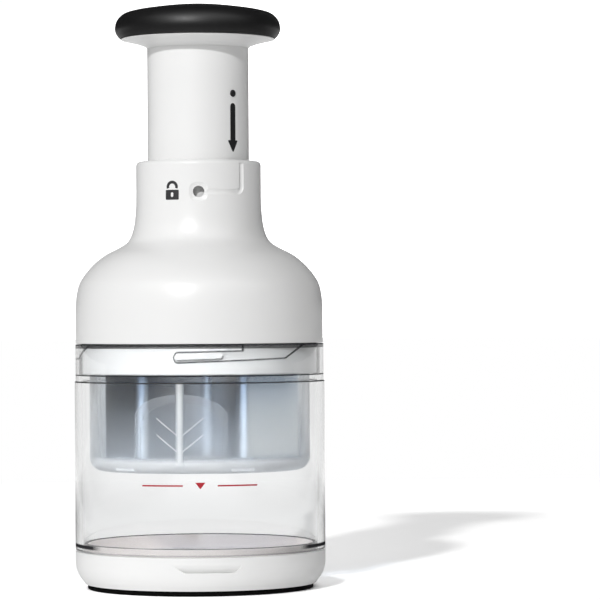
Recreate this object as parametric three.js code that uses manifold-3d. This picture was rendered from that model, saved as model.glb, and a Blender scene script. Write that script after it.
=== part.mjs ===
/*
 * Push-down food chopper.
 *
 * A clear tube stands on a shallow white base that holds a soft cutting pad. A white upper housing
 * closes the tube with a bayonet ring. Inside it, a knob on a wide hollow plunger pushes a helical
 * drive shaft down through a ratchet nut against a return spring, so the zigzag blade goes down
 * through the slots of its guard, chops on the pad and turns a little with each stroke. A small
 * stud on the plunger locks it down in an L shaped track inside the collar.
 *
 * Units are millimetres and +Z is up. The front faces -Y, and azimuths are measured from there,
 * positive towards +X. The origin is the centre of the resting face.
 */
import * as THREE from 'three';
import { mergeVertices } from 'three/addons/utils/BufferGeometryUtils.js';
import Module from 'manifold-3d';

const wasm = await Module();
wasm.setup();

const fullTurn = Math.PI * 2;
const quarterTurn = Math.PI / 2;
const degree = Math.PI / 180;

// Clearances shared by all pieces
const seatGap = 0.3;         // between faces that rest on each other
const fitGap = 0.3;          // round a piece that sits still in its hole or pocket
const slideGap = 0.4;        // round a piece that slides or turns
const overrun = 1;           // how far a cutting tool passes the surface that it cuts
const rootDepth = 0.4;       // how far a rib or boss reaches into the wall that carries it
const weldDistance = 1e-4;   // vertices nearer than this are one

// Facets
const wideSteps = 32;
const middleSteps = 28;
const smallSteps = 20;
const screwSteps = 8;
const holeSteps = 12;

// Foot ring
const footOuterRadius = 43.3;
const footWidth = 4;
const footShow = 1.4;
const footSink = 2.2;

// Base and clear tube share their outside and their wall
const bodyRadius = 48;
const bodyWall = 2.7;

// Base
const baseHeight = 13.3;
const baseCurveHeight = 8.7;
const baseTuck = 3.8;
const baseEdgeRound = 0.5;
const baseFloorDrop = 6;
const baseFloor = 2.5;
const baseLip = 1.3;
const baseRibCount = 6;
const baseRibWidth = 1.6;
const baseRibHeight = 3.2;
const baseHubRadius = 8;
const notchAzimuth = 2.6 * degree;
const notchTopWidth = 27.7;
const notchBottomWidth = 17.9;
const notchTopDrop = 2.1;
const notchHeight = 4.1;
const notchDepth = 1.4;
// How far in, as a share of the tuck, and how high, as a share of the curve's height
const baseCurveShares = [[1, 0], [0.79, 0.15], [0.5, 0.33], [0.24, 0.55], [0.06, 0.8], [0, 1]];

// Cutting pad
const padFloor = 2.7;
const padWall = 2;
const padRise = 3.1;
const padEdgeRound = 0.5;

// Clear chopping chamber
const chamberHeight = 78.1;
const chamberNeckHeight = 13.8;
const chamberNeckStep = 0.4;
const chamberEdge = 0.5;

// Bayonet channels on the inside of the chamber's neck, three round the rim
const bayonetCount = 3;
const channelDepth = 1.3;
const channelFloorDrop = 6.3;       // floor of the closed end, below the rim
const channelMouthDrop = 4.8;       // floor where the lead-in starts, below the rim
const channelRoofDrop = 2.4;        // roof over the closed end, below the rim
const channelRoofRise = 0.5;        // how much the roof climbs from the closed end to the mouth
const channelEnd = -12 * degree;
const channelTurn = 20 * degree;
const channelLeadIn = 43.8 * degree;
const channelMouth = 58 * degree;
const channelSteps = 4;
const openingTwist = 32 * degree;

// Bayonet ring, which also carries the guard
const ringGap = 0.7;
const ringWall = 1.8;
const ringDrop = 11.5;              // how far it hangs down inside the chamber
const ringFlange = 2;
const ringFlangeRise = 0.9;         // underside of its flange, above the chamber's rim
const lugStart = -11.4 * degree;
const lugEnd = 10.6 * degree;
const lugSteps = 4;
const hookWall = 1.4;
const hookLip = 1.6;
const hookLipHeight = 1.2;
const hookLength = 6.8;             // from the lip's underside to the flange

// Upper housing
const housingRadius = 47.3;
const housingWall = 2.2;
const housingSkirt = 7.6;
const shoulderHeight = 49;
const neckRadius = 23.75;
const neckHeight = 13.5;
const neckEdgeRound = 1.7;
const boreChamfer = 0.5;
const boreLength = 24.2;
// Across from neck to rim, and up the shoulder
const shoulderShares = [
  [1, 0], [0.985, 0.159], [0.947, 0.276], [0.873, 0.369], [0.711, 0.465], [0.503, 0.545],
  [0.274, 0.6], [0.15, 0.637], [0.0955, 0.685], [0.04, 0.77], [0.0042, 0.922], [0, 1],
];
const edgeRoundShares = [[0, 0], [0.1, 0.45], [0.38, 0.8], [1, 1]];
const bossRadius = 3.2;
const bossRibWidth = 1.8;
const bossRootShare = 0.5;          // of the housing's wall

// Lock: stud on the plunger, track in the bore, sight hole and groove outside
const lockAzimuth = 42.5 * degree;
const sightDrop = 12.3;             // sight hole, below the collar's top
const sightDiameter = 4.3;
const sightRecessWidth = 6.8;
const sightRecessDepth = 0.5;
const grooveWidth = 2;
const grooveDepth = 0.6;
const grooveTopDrop = 1.5;
const trackDepth = 1.1;
const studHeadDiameter = 3.15;
const studShankDiameter = 2;
const studHeadHeight = 0.6;
const studHeadRound = 0.2;
const arcStepAngle = 7.5 * degree;

// Plunger
const stroke = 37.6;
const plungerRadius = 19.5;
const plungerWall = 2.2;
const plungerRise = 43.1;           // above the collar
const plungerLip = 1.9;
const plungerLipHeight = 2.1;
const plungerFlange = 3;
const plungerOpening = 8.5;

// Knob
const knobRadius = 31.8;
const knobHeight = 13.3;
const knobWall = 1.6;
const coreWall = 1.8;
const coreRimThickness = 0.6;
const coreConeHeight = 3.6;         // from the plunger's top to the rim
const coreConeRun = 4.1;            // steep part of the underside, outwards from the plunger
const coreConeRise = 1.6;
const coreFloor = 2;
const coreBossRadius = 3;
const coreBossHeight = 5;
// Radius as a share of the knob's, height as a share of the cap's
const knobShares = [
  [0.937, 0], [0.962, 0.059], [0.991, 0.17], [1, 0.289], [0.987, 0.467], [0.956, 0.593],
  [0.896, 0.711], [0.792, 0.785], [0.623, 0.859], [0.368, 0.941], [0.16, 0.983], [0, 1],
];

// Bridge plate that closes the housing and carries the drive
const bridgeThickness = 2.5;
const bridgeEdgeGap = 0.5;

// Ratchet nut, its spring and its retainer
const nutRadius = 8.6;
const nutHeight = 5.5;
const toothCount = 12;
const toothHeight = 0.8;
const toothSlopeShare = 0.9;
const retainerWall = 1.6;
const retainerHeight = 13;
const retainerTop = 1.5;
const retainerFlangeRadius = 15;
const retainerFlange = 1.2;
const nutSpringWire = 0.9;
const nutSpringRadius = 7.7;
const nutSpringTurns = 2.5;

// Return spring
const springWire = 1.6;
const springRadius = 13.2;
const springTurns = 10;
const springEndTurns = 1;
const springEndGap = 0.5;
const coilSteps = 8;
const coilSides = 5;

// Spring cap, the thrust plate between knob, spring and shaft
const capThickness = 5;
const capSkirt = 3;
const capSkirtWall = 2.3;

// Drive shaft
const shaftLead = 300.8;            // height of one full turn of its ribs
const shaftCore = 4;
const shaftRib = 1.6;
const shaftRibCount = 4;
const shaftPointsPerRib = 6;
const shaftRibSteps = 9;
const shaftNutGap = 0.5;
const shaftStem = 4.4;
const shaftJournal = 3;
const shaftTail = 1.4;              // beyond the clip's groove
const clipThickness = 1.2;
const clipWidth = 3;
const clipGroove = 0.7;
const clipMouth = 3.2;

// Blade carrier
const carrierRadius = 36;
const carrierThickness = 4.6;
const carrierRound = 0.8;
const hubRadius = 9;
const hubHeight = 3.9;
const bladeSeat = 1.6;              // how deep the blade's back sits in the carrier
const carrierWeb = 2.2;

// Zigzag blade, in its own frame
const bladeAzimuth = -8.3 * degree;
const bladeSpan = 75;
const bladeFoldSpan = 38.4;
const bladeFrontReach = 25;
const bladeBackReach = 27;
const bladeEndReach = 2;
const bladeFoldRadius = 3;
const bladeFoldSteps = 5;
const bladeThickness = 0.5;
const bladeBevel = 2;
const bladeEdgeThickness = 0.12;
const bladePadGap = 0.4;            // above the pad at the bottom of the stroke

// Guard drum
const guardRadius = 42.2;
const guardWall = 1.4;
const guardCorner = 5;
const guardCornerSteps = 3;
const guardBladeCover = 4.4;        // the drum's underside, below the blade's edge at rest
const guardFlange = 1.5;
const guardSlotGap = 0.6;
const gripAzimuth = -10 * degree;
const gripHalfAngle = 23.7 * degree;
const gripShoulder = 16;            // straight sides, above the drum's rounded corner
const gripArchRise = 8.7;
const gripThickness = 0.7;
const gripSteps = 8;
const gripRibWidth = 3.2;
const gripRibProud = 1.1;
const gripRibStart = 1.2;           // up from the rounded corner
const gripRibHeight = 28;
const chevronCount = 2;
const chevronHalfAngle = 11.5 * degree;
const chevronDrop = 7.1;
const chevronPitch = 6.1;
const chevronBase = 2.4;            // lowest point, above the rounded corner
const chevronWidth = 0.8;
const chevronProud = 0.4;
const blockHalfAngle = 32.5 * degree;
const blockWidth = 8;
const blockHeight = 4.6;
const blockWallGap = 0.6;

// Screws
const bridgeScrewHead = 1.8;
const bridgeScrewHeadHeight = 1.3;
const bridgeScrewShank = 1.1;
const bridgeScrewLength = 14.3;
const coreScrewHead = 2.4;
const coreScrewHeadHeight = 1.3;
const coreScrewShank = 1.2;
const coreScrewLength = 6.5;
const carrierScrewHead = 3.4;
const carrierScrewHeadHeight = 1.6;
const carrierScrewShank = 1.5;
const carrierScrewLength = 10;
const screwCount = 3;

// Heights and radii that follow from the sizes above
const baseZ = footShow;
const baseRimZ = baseZ + baseHeight;
const baseFloorZ = baseRimZ - baseFloorDrop;
const footInnerRadius = footOuterRadius - footWidth;
const chamberBore = bodyRadius - bodyWall;
const padRadius = chamberBore - fitGap;
const padZ = baseFloorZ + seatGap;
const padTopZ = padZ + padFloor;
const chamberZ = baseRimZ + seatGap;
const chamberTopZ = chamberZ + chamberHeight;
const chamberNeckRadius = bodyRadius - chamberNeckStep;
const channelRadius = chamberBore + channelDepth;
const housingZ = chamberTopZ + seatGap;
const skirtTopZ = housingZ + housingSkirt;
const neckZ = skirtTopZ + shoulderHeight;
const collarTopZ = neckZ + neckHeight;
const housingBore = plungerRadius + slideGap;
const boreEndZ = collarTopZ - boreLength;
const sightZ = collarTopZ - sightDrop;
const ringRadius = chamberBore - ringGap;
const ringInnerRadius = ringRadius - ringWall;
const ringZ = chamberTopZ - ringDrop;
const ringFlangeZ = chamberTopZ + ringFlangeRise;
const ringTopZ = ringFlangeZ + ringFlange;
const guardInnerRadius = guardRadius - guardWall;
const hookLipZ = ringFlangeZ - hookLength;
const hookLipTopZ = hookLipZ + hookLipHeight;
const carrierTurnRadius = carrierRadius + fitGap * 4;
const hookRadius = carrierTurnRadius + hookWall;
const bridgeZ = ringTopZ + seatGap;
const bridgeTopZ = bridgeZ + bridgeThickness;
const bridgeRadius = housingRadius - housingWall - bridgeEdgeGap;
const screwCircle = (hookRadius + ringInnerRadius) / 2;
const plungerBore = plungerRadius - plungerWall;
const plungerTopZ = collarTopZ + plungerRise;
const plungerFlangeZ = plungerTopZ - plungerFlange;
const plungerLipTopZ = boreEndZ - seatGap;
const plungerLipRadius = plungerRadius + plungerLip;
const plungerZ = plungerLipTopZ - plungerLipHeight;
const studZ = sightZ + stroke;
const coreZ = plungerTopZ + seatGap;
const coreRimZ = plungerTopZ + coreConeHeight + seatGap;
const knobZ = coreRimZ + seatGap;
const capTopZ = plungerFlangeZ - seatGap;
const capZ = capTopZ - capThickness;
const capRadius = plungerBore - slideGap;
const retainerZ = bridgeTopZ + seatGap;
const retainerTopZ = retainerZ + retainerHeight;
const nutZ = bridgeTopZ + seatGap;
const nutTopZ = nutZ + nutHeight + toothHeight;
const springZ = retainerZ + retainerFlange + seatGap;
const springTopZ = capZ - seatGap;
const coreScrewCircle = (plungerOpening + plungerBore) / 2;
const bladeZ = padTopZ + bladePadGap + stroke;
const guardZ = bladeZ - guardBladeCover;
const guardCornerZ = guardZ + guardCorner;
const guardFlangeZ = hookLipTopZ + seatGap;
const guardTopZ = guardFlangeZ + guardFlange;
const guardFloorTopZ = guardZ + guardWall;
const bladeTopZ = hookLipZ - seatGap * 2;
const carrierZ = bladeTopZ - bladeSeat;
const carrierTopZ = carrierZ + carrierThickness;
const hubTopZ = carrierTopZ + hubHeight;
const carrierScrewHeadZ = carrierZ + seatGap;
const carrierWebZ = carrierScrewHeadZ + carrierScrewHeadHeight + seatGap;
const socketZ = carrierWebZ + carrierWeb;
const shaftZ = socketZ + seatGap;
const shaftRibTopZ = nutTopZ + stroke + nutHeight;
const shaftShoulderZ = capZ - seatGap;
const clipZ = capTopZ + seatGap;
const clipTopZ = clipZ + clipThickness;
const shaftTopZ = clipTopZ + seatGap + shaftTail;

// A point at a radius, an azimuth and a height
const at = (radius, azimuth, z) =>
  new THREE.Vector3(radius * Math.sin(azimuth), -radius * Math.cos(azimuth), z);

// Welds a geometry into one closed skin whose faces point out
const welded = (geometry) => {
  const bare = new THREE.BufferGeometry();
  bare.setAttribute('position', geometry.getAttribute('position').clone());
  if (geometry.index) bare.setIndex(geometry.index.clone());
  const skin = mergeVertices(bare, weldDistance);
  const points = skin.getAttribute('position');
  const corners = [new THREE.Vector3(), new THREE.Vector3(), new THREE.Vector3()];
  const faces = [];
  let volume = 0;
  for (let i = 0; i < skin.index.count; i += 3) {
    const face = [0, 1, 2].map((k) => skin.index.getX(i + k));
    if (new Set(face).size < 3) continue;
    face.forEach((vertex, k) => corners[k].fromBufferAttribute(points, vertex));
    volume += corners[0].dot(corners[1].clone().cross(corners[2]));
    faces.push(face);
  }
  skin.setIndex(faces.flatMap(([a, b, c]) => (volume < 0 ? [a, c, b] : [a, b, c])));
  return skin;
};

const toSolid = (geometry) => {
  const skin = welded(geometry);
  return new wasm.Manifold(new wasm.Mesh({
    numProp: 3,
    vertProperties: new Float32Array(skin.getAttribute('position').array),
    triVerts: new Uint32Array(skin.index.array),
  }));
};

const toGeometry = (solid) => {
  const mesh = solid.getMesh();
  const geometry = new THREE.BufferGeometry();
  geometry.setAttribute('position', new THREE.BufferAttribute(mesh.vertProperties, mesh.numProp));
  geometry.setIndex(Array.from(mesh.triVerts));
  return geometry;
};

const joined = (body, ...others) =>
  toGeometry(others.reduce((sum, other) => sum.add(toSolid(other)), toSolid(body)));
const carved = (body, ...tools) =>
  toGeometry(tools.reduce((rest, tool) => rest.subtract(toSolid(tool)), toSolid(body)));

// Revolves an outline of [radius, height] points about Z, starting at the front
const turned = (outline, steps = wideSteps) =>
  new THREE.LatheGeometry(outline.map(([r, z]) => new THREE.Vector2(r, z)), steps).rotateX(quarterTurn);
const turnedRing = (outline, steps = wideSteps) => turned([...outline, outline[0]], steps);

const rod = (radius, low, high, steps = holeSteps) =>
  turned([[0, low], [radius, low], [radius, high], [0, high]], steps);

// Joins rings of points, all with the same count, into a skin. The ends are closed by a fan, or by
// a triangulation seen from above for level rings that a fan would not fill.
const loft = (rings, { endless = false, level = false } = {}) => {
  const count = rings[0].length;
  const points = rings.flat();
  const faces = [];
  const spans = endless ? rings.length : rings.length - 1;
  for (let i = 0; i < spans; i += 1) {
    const near = i * count;
    const far = ((i + 1) % rings.length) * count;
    for (let k = 0; k < count; k += 1) {
      const next = (k + 1) % count;
      faces.push(near + k, near + next, far + next, near + k, far + next, far + k);
    }
  }
  if (!endless) {
    [[0, true], [rings.length - 1, false]].forEach(([which, flip]) => {
      const start = which * count;
      const add = (a, b, c) => faces.push(...(flip ? [a, c, b] : [a, b, c]));
      if (level) {
        const contour = rings[which].map((p) => new THREE.Vector2(p.x, p.y));
        const clockwise = THREE.ShapeUtils.isClockWise(contour);
        THREE.ShapeUtils.triangulateShape(clockwise ? contour.reverse() : contour, []).forEach((face) => {
          const [a, b, c] = face.map((k) => start + (clockwise ? count - 1 - k : k));
          if (clockwise) add(a, c, b);
          else add(a, b, c);
        });
      } else {
        const middle = rings[which].reduce((sum, p) => sum.add(p), new THREE.Vector3()).divideScalar(count);
        const centre = points.push(middle) - 1;
        for (let k = 0; k < count; k += 1) add(centre, start + k, start + ((k + 1) % count));
      }
    });
  }
  const geometry = new THREE.BufferGeometry();
  geometry.setAttribute('position', new THREE.Float32BufferAttribute(points.flatMap((p) => p.toArray()), 3));
  geometry.setIndex(faces);
  return geometry;
};

// A four-sided bar that follows the azimuth. Each station gives its azimuth and its four limits.
const arcBar = (stations, options) =>
  loft(stations.map(({ azimuth, inner, outer, low, high }) => [
    at(inner, azimuth, low), at(outer, azimuth, low), at(outer, azimuth, high), at(inner, azimuth, high),
  ]), options);

const spread = (from, to, steps) =>
  Array.from({ length: steps + 1 }, (unused, i) => THREE.MathUtils.lerp(from, to, i / steps));

const arcBox = (from, to, inner, outer, low, high) =>
  arcBar(spread(from, to, Math.max(1, Math.ceil((to - from) / arcStepAngle)))
    .map((azimuth) => ({ azimuth, inner, outer, low, high })));

const around = (count, start = 0) =>
  Array.from({ length: count }, (unused, i) => start + (fullTurn * i) / count);

// Moves an outline to its left by a distance, with mitred corners
const inset = (outline, distance) => outline.map(([r, z], i) => {
  const before = outline[Math.max(i - 1, 0)];
  const after = outline[Math.min(i + 1, outline.length - 1)];
  const into = new THREE.Vector2(r - before[0], z - before[1]).normalize();
  const out = new THREE.Vector2(after[0] - r, after[1] - z).normalize();
  if (i === 0) into.copy(out);
  if (i === outline.length - 1) out.copy(into);
  const along = into.clone().add(out).normalize();
  const reach = distance / along.dot(into);
  return [r - along.y * reach, z + along.x * reach];
});

// Every other point of an outline, for the inside of a wall
const coarse = (outline) => outline.filter((unused, i) => i % 2 === 0 || i === outline.length - 1);

// Height of a falling or rising outline at a radius
const heightAt = (outline, radius) => {
  for (let i = 1; i < outline.length; i += 1) {
    const [[r0, z0], [r1, z1]] = [outline[i - 1], outline[i]];
    if (r0 !== r1 && (r0 - radius) * (r1 - radius) <= 0) {
      return THREE.MathUtils.mapLinear(radius, r0, r1, z0, z1);
    }
  }
  return outline[outline.length - 1][1];
};

// A round wire wound about Z with closed end turns. It prints the least gap between its turns.
const coil = (label, { radius, wire, low, high, turns, endTurns = 0 }) => {
  const start = low + wire / 2;
  const rise = high - low - wire;
  const endRise = endTurns * (wire + springEndGap);
  const heightOf = (turn) => {
    if (endTurns === 0) return start + (rise * turn) / turns;
    if (turn < endTurns) return start + (endRise * turn) / endTurns;
    if (turn > turns - endTurns) return start + rise - (endRise * (turns - turn)) / endTurns;
    return start + endRise + ((rise - endRise * 2) * (turn - endTurns)) / (turns - endTurns * 2);
  };
  const line = spread(0, turns, turns * coilSteps).map((turn) => at(radius, turn * fullTurn, heightOf(turn)));
  let least = Infinity;
  line.forEach((p, i) => line.forEach((q, j) => {
    if (j - i > coilSteps / 2) least = Math.min(least, p.distanceTo(q) - wire);
  }));
  console.log(`${label}: least gap between turns ${least.toFixed(2)} mm`);
  return loft(line.map((centre, i) => {
    const along = line[Math.min(i + 1, line.length - 1)].clone().sub(line[Math.max(i - 1, 0)]).normalize();
    const out = new THREE.Vector3(centre.x, centre.y, 0).normalize();
    const side = along.clone().cross(out).normalize();
    return around(coilSides).map((angle) => centre.clone()
      .addScaledVector(out, (Math.cos(angle) * wire) / 2)
      .addScaledVector(side, (Math.sin(angle) * wire) / 2));
  }));
};

// A screw that points up: head below, shank above
const screw = (z, head, headHeight, shank, length) => turned([
  [0, z], [head, z], [head, z + headHeight], [shank, z + headHeight], [shank, z + headHeight + length],
  [0, z + headHeight + length],
], screwSteps);

const placedRods = (radius, circle, azimuths, low, high) =>
  azimuths.map((azimuth) => {
    const place = at(circle, azimuth, 0);
    return rod(radius, low, high, screwSteps).translate(place.x, place.y, 0);
  });

const lugAzimuths = around(bayonetCount);
const screwAzimuths = around(screwCount, fullTurn / screwCount / 2);

// Base
const makeFootRing = () => turnedRing([
  [footInnerRadius, 0], [footOuterRadius, 0], [footOuterRadius, baseZ + footSink], [footInnerRadius, baseZ + footSink],
]);

const makeBase = () => {
  const grooveInner = footInnerRadius - fitGap;
  const grooveOuter = footOuterRadius + fitGap;
  const grooveTopZ = baseZ + footSink + seatGap;
  const hollow = grooveInner - baseLip;
  const underZ = baseFloorZ - baseFloor;
  const shell = turned([
    [0, underZ], [hollow, underZ], [hollow, baseZ], [grooveInner, baseZ], [grooveInner, grooveTopZ],
    [grooveOuter, grooveTopZ], [grooveOuter, baseZ],
    ...baseCurveShares.map(([a, b]) => [bodyRadius - a * baseTuck, baseZ + b * baseCurveHeight]),
    [bodyRadius, baseRimZ - baseEdgeRound], [bodyRadius - baseEdgeRound, baseRimZ],
    [chamberBore, baseRimZ], [chamberBore, baseFloorZ], [0, baseFloorZ],
  ]);
  const ribLength = hollow - baseHubRadius + rootDepth * 2;
  const ribZ = underZ - baseRibHeight;
  const ribs = around(baseRibCount).map((azimuth) =>
    new THREE.BoxGeometry(baseRibWidth, ribLength, baseRibHeight + rootDepth)
      .translate(0, -(baseHubRadius - rootDepth + ribLength / 2), ribZ + (baseRibHeight + rootDepth) / 2)
      .rotateZ(azimuth));
  const hub = rod(baseHubRadius, ribZ, underZ + rootDepth, smallSteps);
  const topZ = baseRimZ - notchTopDrop;
  const bottomZ = topZ - notchHeight;
  const topHalf = notchTopWidth / 2 / bodyRadius;
  const bottomHalf = notchBottomWidth / 2 / bodyRadius;
  const notch = arcBar([
    ...spread(-topHalf, -bottomHalf, 2), ...spread(-bottomHalf, bottomHalf, 4).slice(1, -1),
    ...spread(bottomHalf, topHalf, 2),
  ].map((azimuth) => ({
    azimuth: azimuth + notchAzimuth,
    inner: bodyRadius - notchDepth,
    outer: bodyRadius + overrun,
    low: Math.min(
      THREE.MathUtils.mapLinear(Math.max(Math.abs(azimuth), bottomHalf), bottomHalf, topHalf, bottomZ, topZ),
      topZ - weldDistance * 100,
    ),
    high: topZ,
  })));
  return carved(joined(shell, hub, ...ribs), notch);
};

const makePad = () => {
  const rimZ = baseRimZ + padRise;
  return turned([
    [0, padZ], [padRadius, padZ], [padRadius, rimZ - padEdgeRound], [padRadius - padEdgeRound, rimZ],
    [padRadius - padWall + padEdgeRound, rimZ], [padRadius - padWall, rimZ - padEdgeRound],
    [padRadius - padWall, padTopZ], [0, padTopZ],
  ]);
};

// Chamber, with its bayonet channels. Floor and roof of a channel at an azimuth from its middle.
const channelFloor = (azimuth) => THREE.MathUtils.mapLinear(
  azimuth, channelEnd, channelLeadIn, chamberTopZ - channelFloorDrop, chamberTopZ - channelMouthDrop,
);
const channelRoof = (azimuth) => chamberTopZ - channelRoofDrop
  + channelRoofRise * THREE.MathUtils.inverseLerp(channelEnd, channelTurn, azimuth);

const makeChamber = () => {
  const stepZ = chamberTopZ - chamberNeckHeight;
  const tube = turnedRing([
    [chamberBore, chamberZ], [bodyRadius - chamberEdge, chamberZ], [bodyRadius, chamberZ + chamberEdge],
    [bodyRadius, stepZ], [chamberNeckRadius, stepZ], [chamberNeckRadius, chamberTopZ],
    [chamberBore, chamberTopZ],
  ]);
  const inner = chamberBore - overrun;
  const outer = channelRadius;
  const channels = lugAzimuths.flatMap((middle) => {
    const closed = spread(channelEnd, channelTurn, channelSteps).map((azimuth) => ({
      azimuth: azimuth + middle, inner, outer, low: channelFloor(azimuth), high: channelRoof(azimuth),
    }));
    const mouth = [
      ...spread(channelTurn, channelLeadIn, channelSteps).map((azimuth) => [azimuth, channelFloor(azimuth)]),
      [channelMouth, chamberTopZ],
    ].map(([azimuth, low]) => ({ azimuth: azimuth + middle, inner, outer, low, high: chamberTopZ + overrun }));
    closed[closed.length - 1].azimuth += degree;
    return [arcBar(closed), arcBar(mouth)];
  });
  return carved(tube, ...channels);
};

// Housing
const housingOutline = [
  [housingRadius, housingZ],
  ...shoulderShares.map(([a, b]) => [
    THREE.MathUtils.lerp(neckRadius, housingRadius, a), THREE.MathUtils.lerp(skirtTopZ, neckZ, b),
  ]),
];

const makeHousing = () => {
  const clearRadius = plungerLipRadius + slideGap;
  const inside = inset(coarse(housingOutline), housingWall)
    .map(([r, z], i) => [Math.max(r, clearRadius), i === 0 ? housingZ : z])
    .filter(([, z]) => z < boreEndZ - housingWall);
  const shell = turnedRing([
    ...housingOutline,
    ...edgeRoundShares.map(([a, b]) => [
      neckRadius - a * neckEdgeRound, collarTopZ - neckEdgeRound + b * neckEdgeRound,
    ]),
    [housingBore + boreChamfer, collarTopZ], [housingBore, collarTopZ - boreChamfer],
    [housingBore, boreEndZ], [clearRadius, boreEndZ],
    ...inside.reverse(),
  ]);
  const bossZ = bridgeTopZ + seatGap;
  const bosses = screwAzimuths.flatMap((azimuth) => {
    const place = at(screwCircle, azimuth, 0);
    const top = heightAt(housingOutline, screwCircle + bossRadius) - housingWall * bossRootShare;
    const rootRadius = housingRadius - housingWall * (1 + bossRootShare) + housingWall * bossRootShare * 2;
    const wallRadius = rootRadius - housingWall * bossRootShare;
    const ribTop = heightAt(housingOutline, wallRadius) - housingWall;
    return [
      rod(bossRadius, bossZ, top).translate(place.x, place.y, 0),
      new THREE.BoxGeometry(bossRibWidth, wallRadius - screwCircle, ribTop - bossZ)
        .translate(0, -(wallRadius + screwCircle) / 2, (ribTop + bossZ) / 2).rotateZ(azimuth),
    ];
  });
  const screwEnd = ringFlangeZ - seatGap + bridgeScrewLength + seatGap;
  const pilots = placedRods(bridgeScrewShank + fitGap, screwCircle, screwAzimuths, bossZ - overrun, screwEnd);
  const trackHalf = studHeadDiameter / 2 + slideGap;
  const trackAngle = trackHalf / housingBore;
  const trackOuter = housingBore + trackDepth;
  const trackInner = housingBore - overrun;
  const track = [
    arcBox(lockAzimuth - trackAngle, lockAzimuth + trackAngle, trackInner, trackOuter,
      sightZ - trackHalf, collarTopZ + overrun),
    arcBox(-trackAngle, lockAzimuth + trackAngle, trackInner, trackOuter, sightZ - trackHalf, sightZ + trackHalf),
  ];
  const sight = new THREE.CylinderGeometry(sightDiameter / 2, sightDiameter / 2,
    neckRadius - housingBore + overrun * 2, holeSteps)
    .translate(0, -(neckRadius + housingBore) / 2, sightZ);
  const skin = neckRadius + overrun;
  const recessAngle = sightRecessWidth / 2 / neckRadius;
  const recess = arcBox(-recessAngle, recessAngle, neckRadius - sightRecessDepth, skin,
    sightZ - sightRecessWidth / 2, sightZ + sightRecessWidth / 2);
  const grooveAngle = grooveWidth / 2 / neckRadius;
  const grooves = [
    arcBox(lockAzimuth - grooveAngle, lockAzimuth + grooveAngle, neckRadius - grooveDepth, skin,
      sightZ - grooveWidth / 2, collarTopZ - grooveTopDrop),
    arcBox(0, lockAzimuth + grooveAngle, neckRadius - grooveDepth, skin,
      sightZ - grooveWidth / 2, sightZ + grooveWidth / 2),
  ];
  return carved(joined(shell, ...bosses), ...pilots, ...track, sight, recess, ...grooves);
};

const makeBayonetRing = () => {
  const ring = turnedRing([
    [ringInnerRadius, ringZ], [ringRadius, ringZ], [ringRadius, ringTopZ], [hookRadius - hookWall, ringTopZ],
    [hookRadius - hookWall, hookLipZ], [hookRadius + hookLip, hookLipZ], [hookRadius + hookLip, hookLipTopZ],
    [hookRadius, hookLipTopZ], [hookRadius, ringFlangeZ], [ringInnerRadius, ringFlangeZ],
  ]);
  const lugs = lugAzimuths.map((middle) => arcBar(spread(lugStart, lugEnd, lugSteps).map((azimuth) => ({
    azimuth: azimuth + middle,
    inner: ringRadius - ringWall / 2,
    outer: channelRadius - fitGap,
    low: channelFloor(azimuth + openingTwist) + seatGap,
    high: channelRoof(azimuth) - seatGap,
  }))));
  const holes = placedRods(bridgeScrewShank + fitGap, screwCircle, screwAzimuths,
    ringFlangeZ - overrun, ringTopZ + overrun);
  return carved(joined(ring, ...lugs), ...holes);
};

// Saw teeth round a ring, as heights above a level. The steep side is the last part of each tooth.
const toothStations = (shift) => around(toothCount, shift).flatMap((azimuth) => [
  [azimuth, 0], [azimuth + (fullTurn / toothCount) * toothSlopeShare, toothHeight],
]);

// Outline of the shaft's ribs at a height, grown by a clearance
const shaftRing = (z, grow) => {
  const count = shaftRibCount * shaftPointsPerRib;
  return around(count, (z / shaftLead) * fullTurn).map((azimuth, i) => {
    const fromRib = Math.min(i % shaftPointsPerRib, shaftPointsPerRib - (i % shaftPointsPerRib));
    return at(shaftCore + (fromRib <= 1 ? shaftRib : 0) + grow, azimuth, z);
  });
};
const shaftTool = (low, high, steps) =>
  loft(spread(low, high, steps).map((z) => shaftRing(z, shaftNutGap)));

const shaftHole = shaftCore + shaftRib + shaftNutGap + fitGap;

const makeBridge = () => {
  const plate = turnedRing([
    [shaftHole, bridgeZ], [bridgeRadius, bridgeZ], [bridgeRadius, bridgeTopZ], [shaftHole, bridgeTopZ],
  ]);
  const crown = arcBar(toothStations(0).map(([azimuth, rise]) => ({
    azimuth, inner: shaftHole, outer: nutRadius, low: bridgeTopZ - rootDepth, high: bridgeTopZ + rise,
  })), { endless: true });
  const holes = placedRods(bridgeScrewShank + fitGap, screwCircle, screwAzimuths,
    bridgeZ - overrun, bridgeTopZ + overrun);
  return carved(joined(plate, crown), ...holes);
};

const makeNut = () => {
  const shift = seatGap / nutRadius;
  const blank = arcBar(toothStations(shift).map(([azimuth, rise]) => ({
    azimuth, inner: shaftJournal, outer: nutRadius, low: nutZ + rise, high: nutTopZ,
  })), { endless: true });
  return carved(blank, shaftTool(nutZ - overrun, nutTopZ + overrun, 3));
};

const makeRetainer = () => {
  const inner = nutRadius + slideGap;
  const outer = inner + retainerWall;
  return turnedRing([
    [inner, retainerZ], [retainerFlangeRadius, retainerZ],
    [retainerFlangeRadius, retainerZ + retainerFlange], [outer, retainerZ + retainerFlange],
    [outer, retainerTopZ], [shaftHole, retainerTopZ], [shaftHole, retainerTopZ - retainerTop],
    [inner, retainerTopZ - retainerTop],
  ], smallSteps);
};

// Plunger and knob
const makeSpringCap = () => {
  const bore = shaftJournal + slideGap;
  return turnedRing([
    [bore, capZ], [capRadius - capSkirtWall, capZ], [capRadius - capSkirtWall, capZ - capSkirt],
    [capRadius, capZ - capSkirt], [capRadius, capTopZ], [bore, capTopZ],
  ], smallSteps);
};

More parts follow.
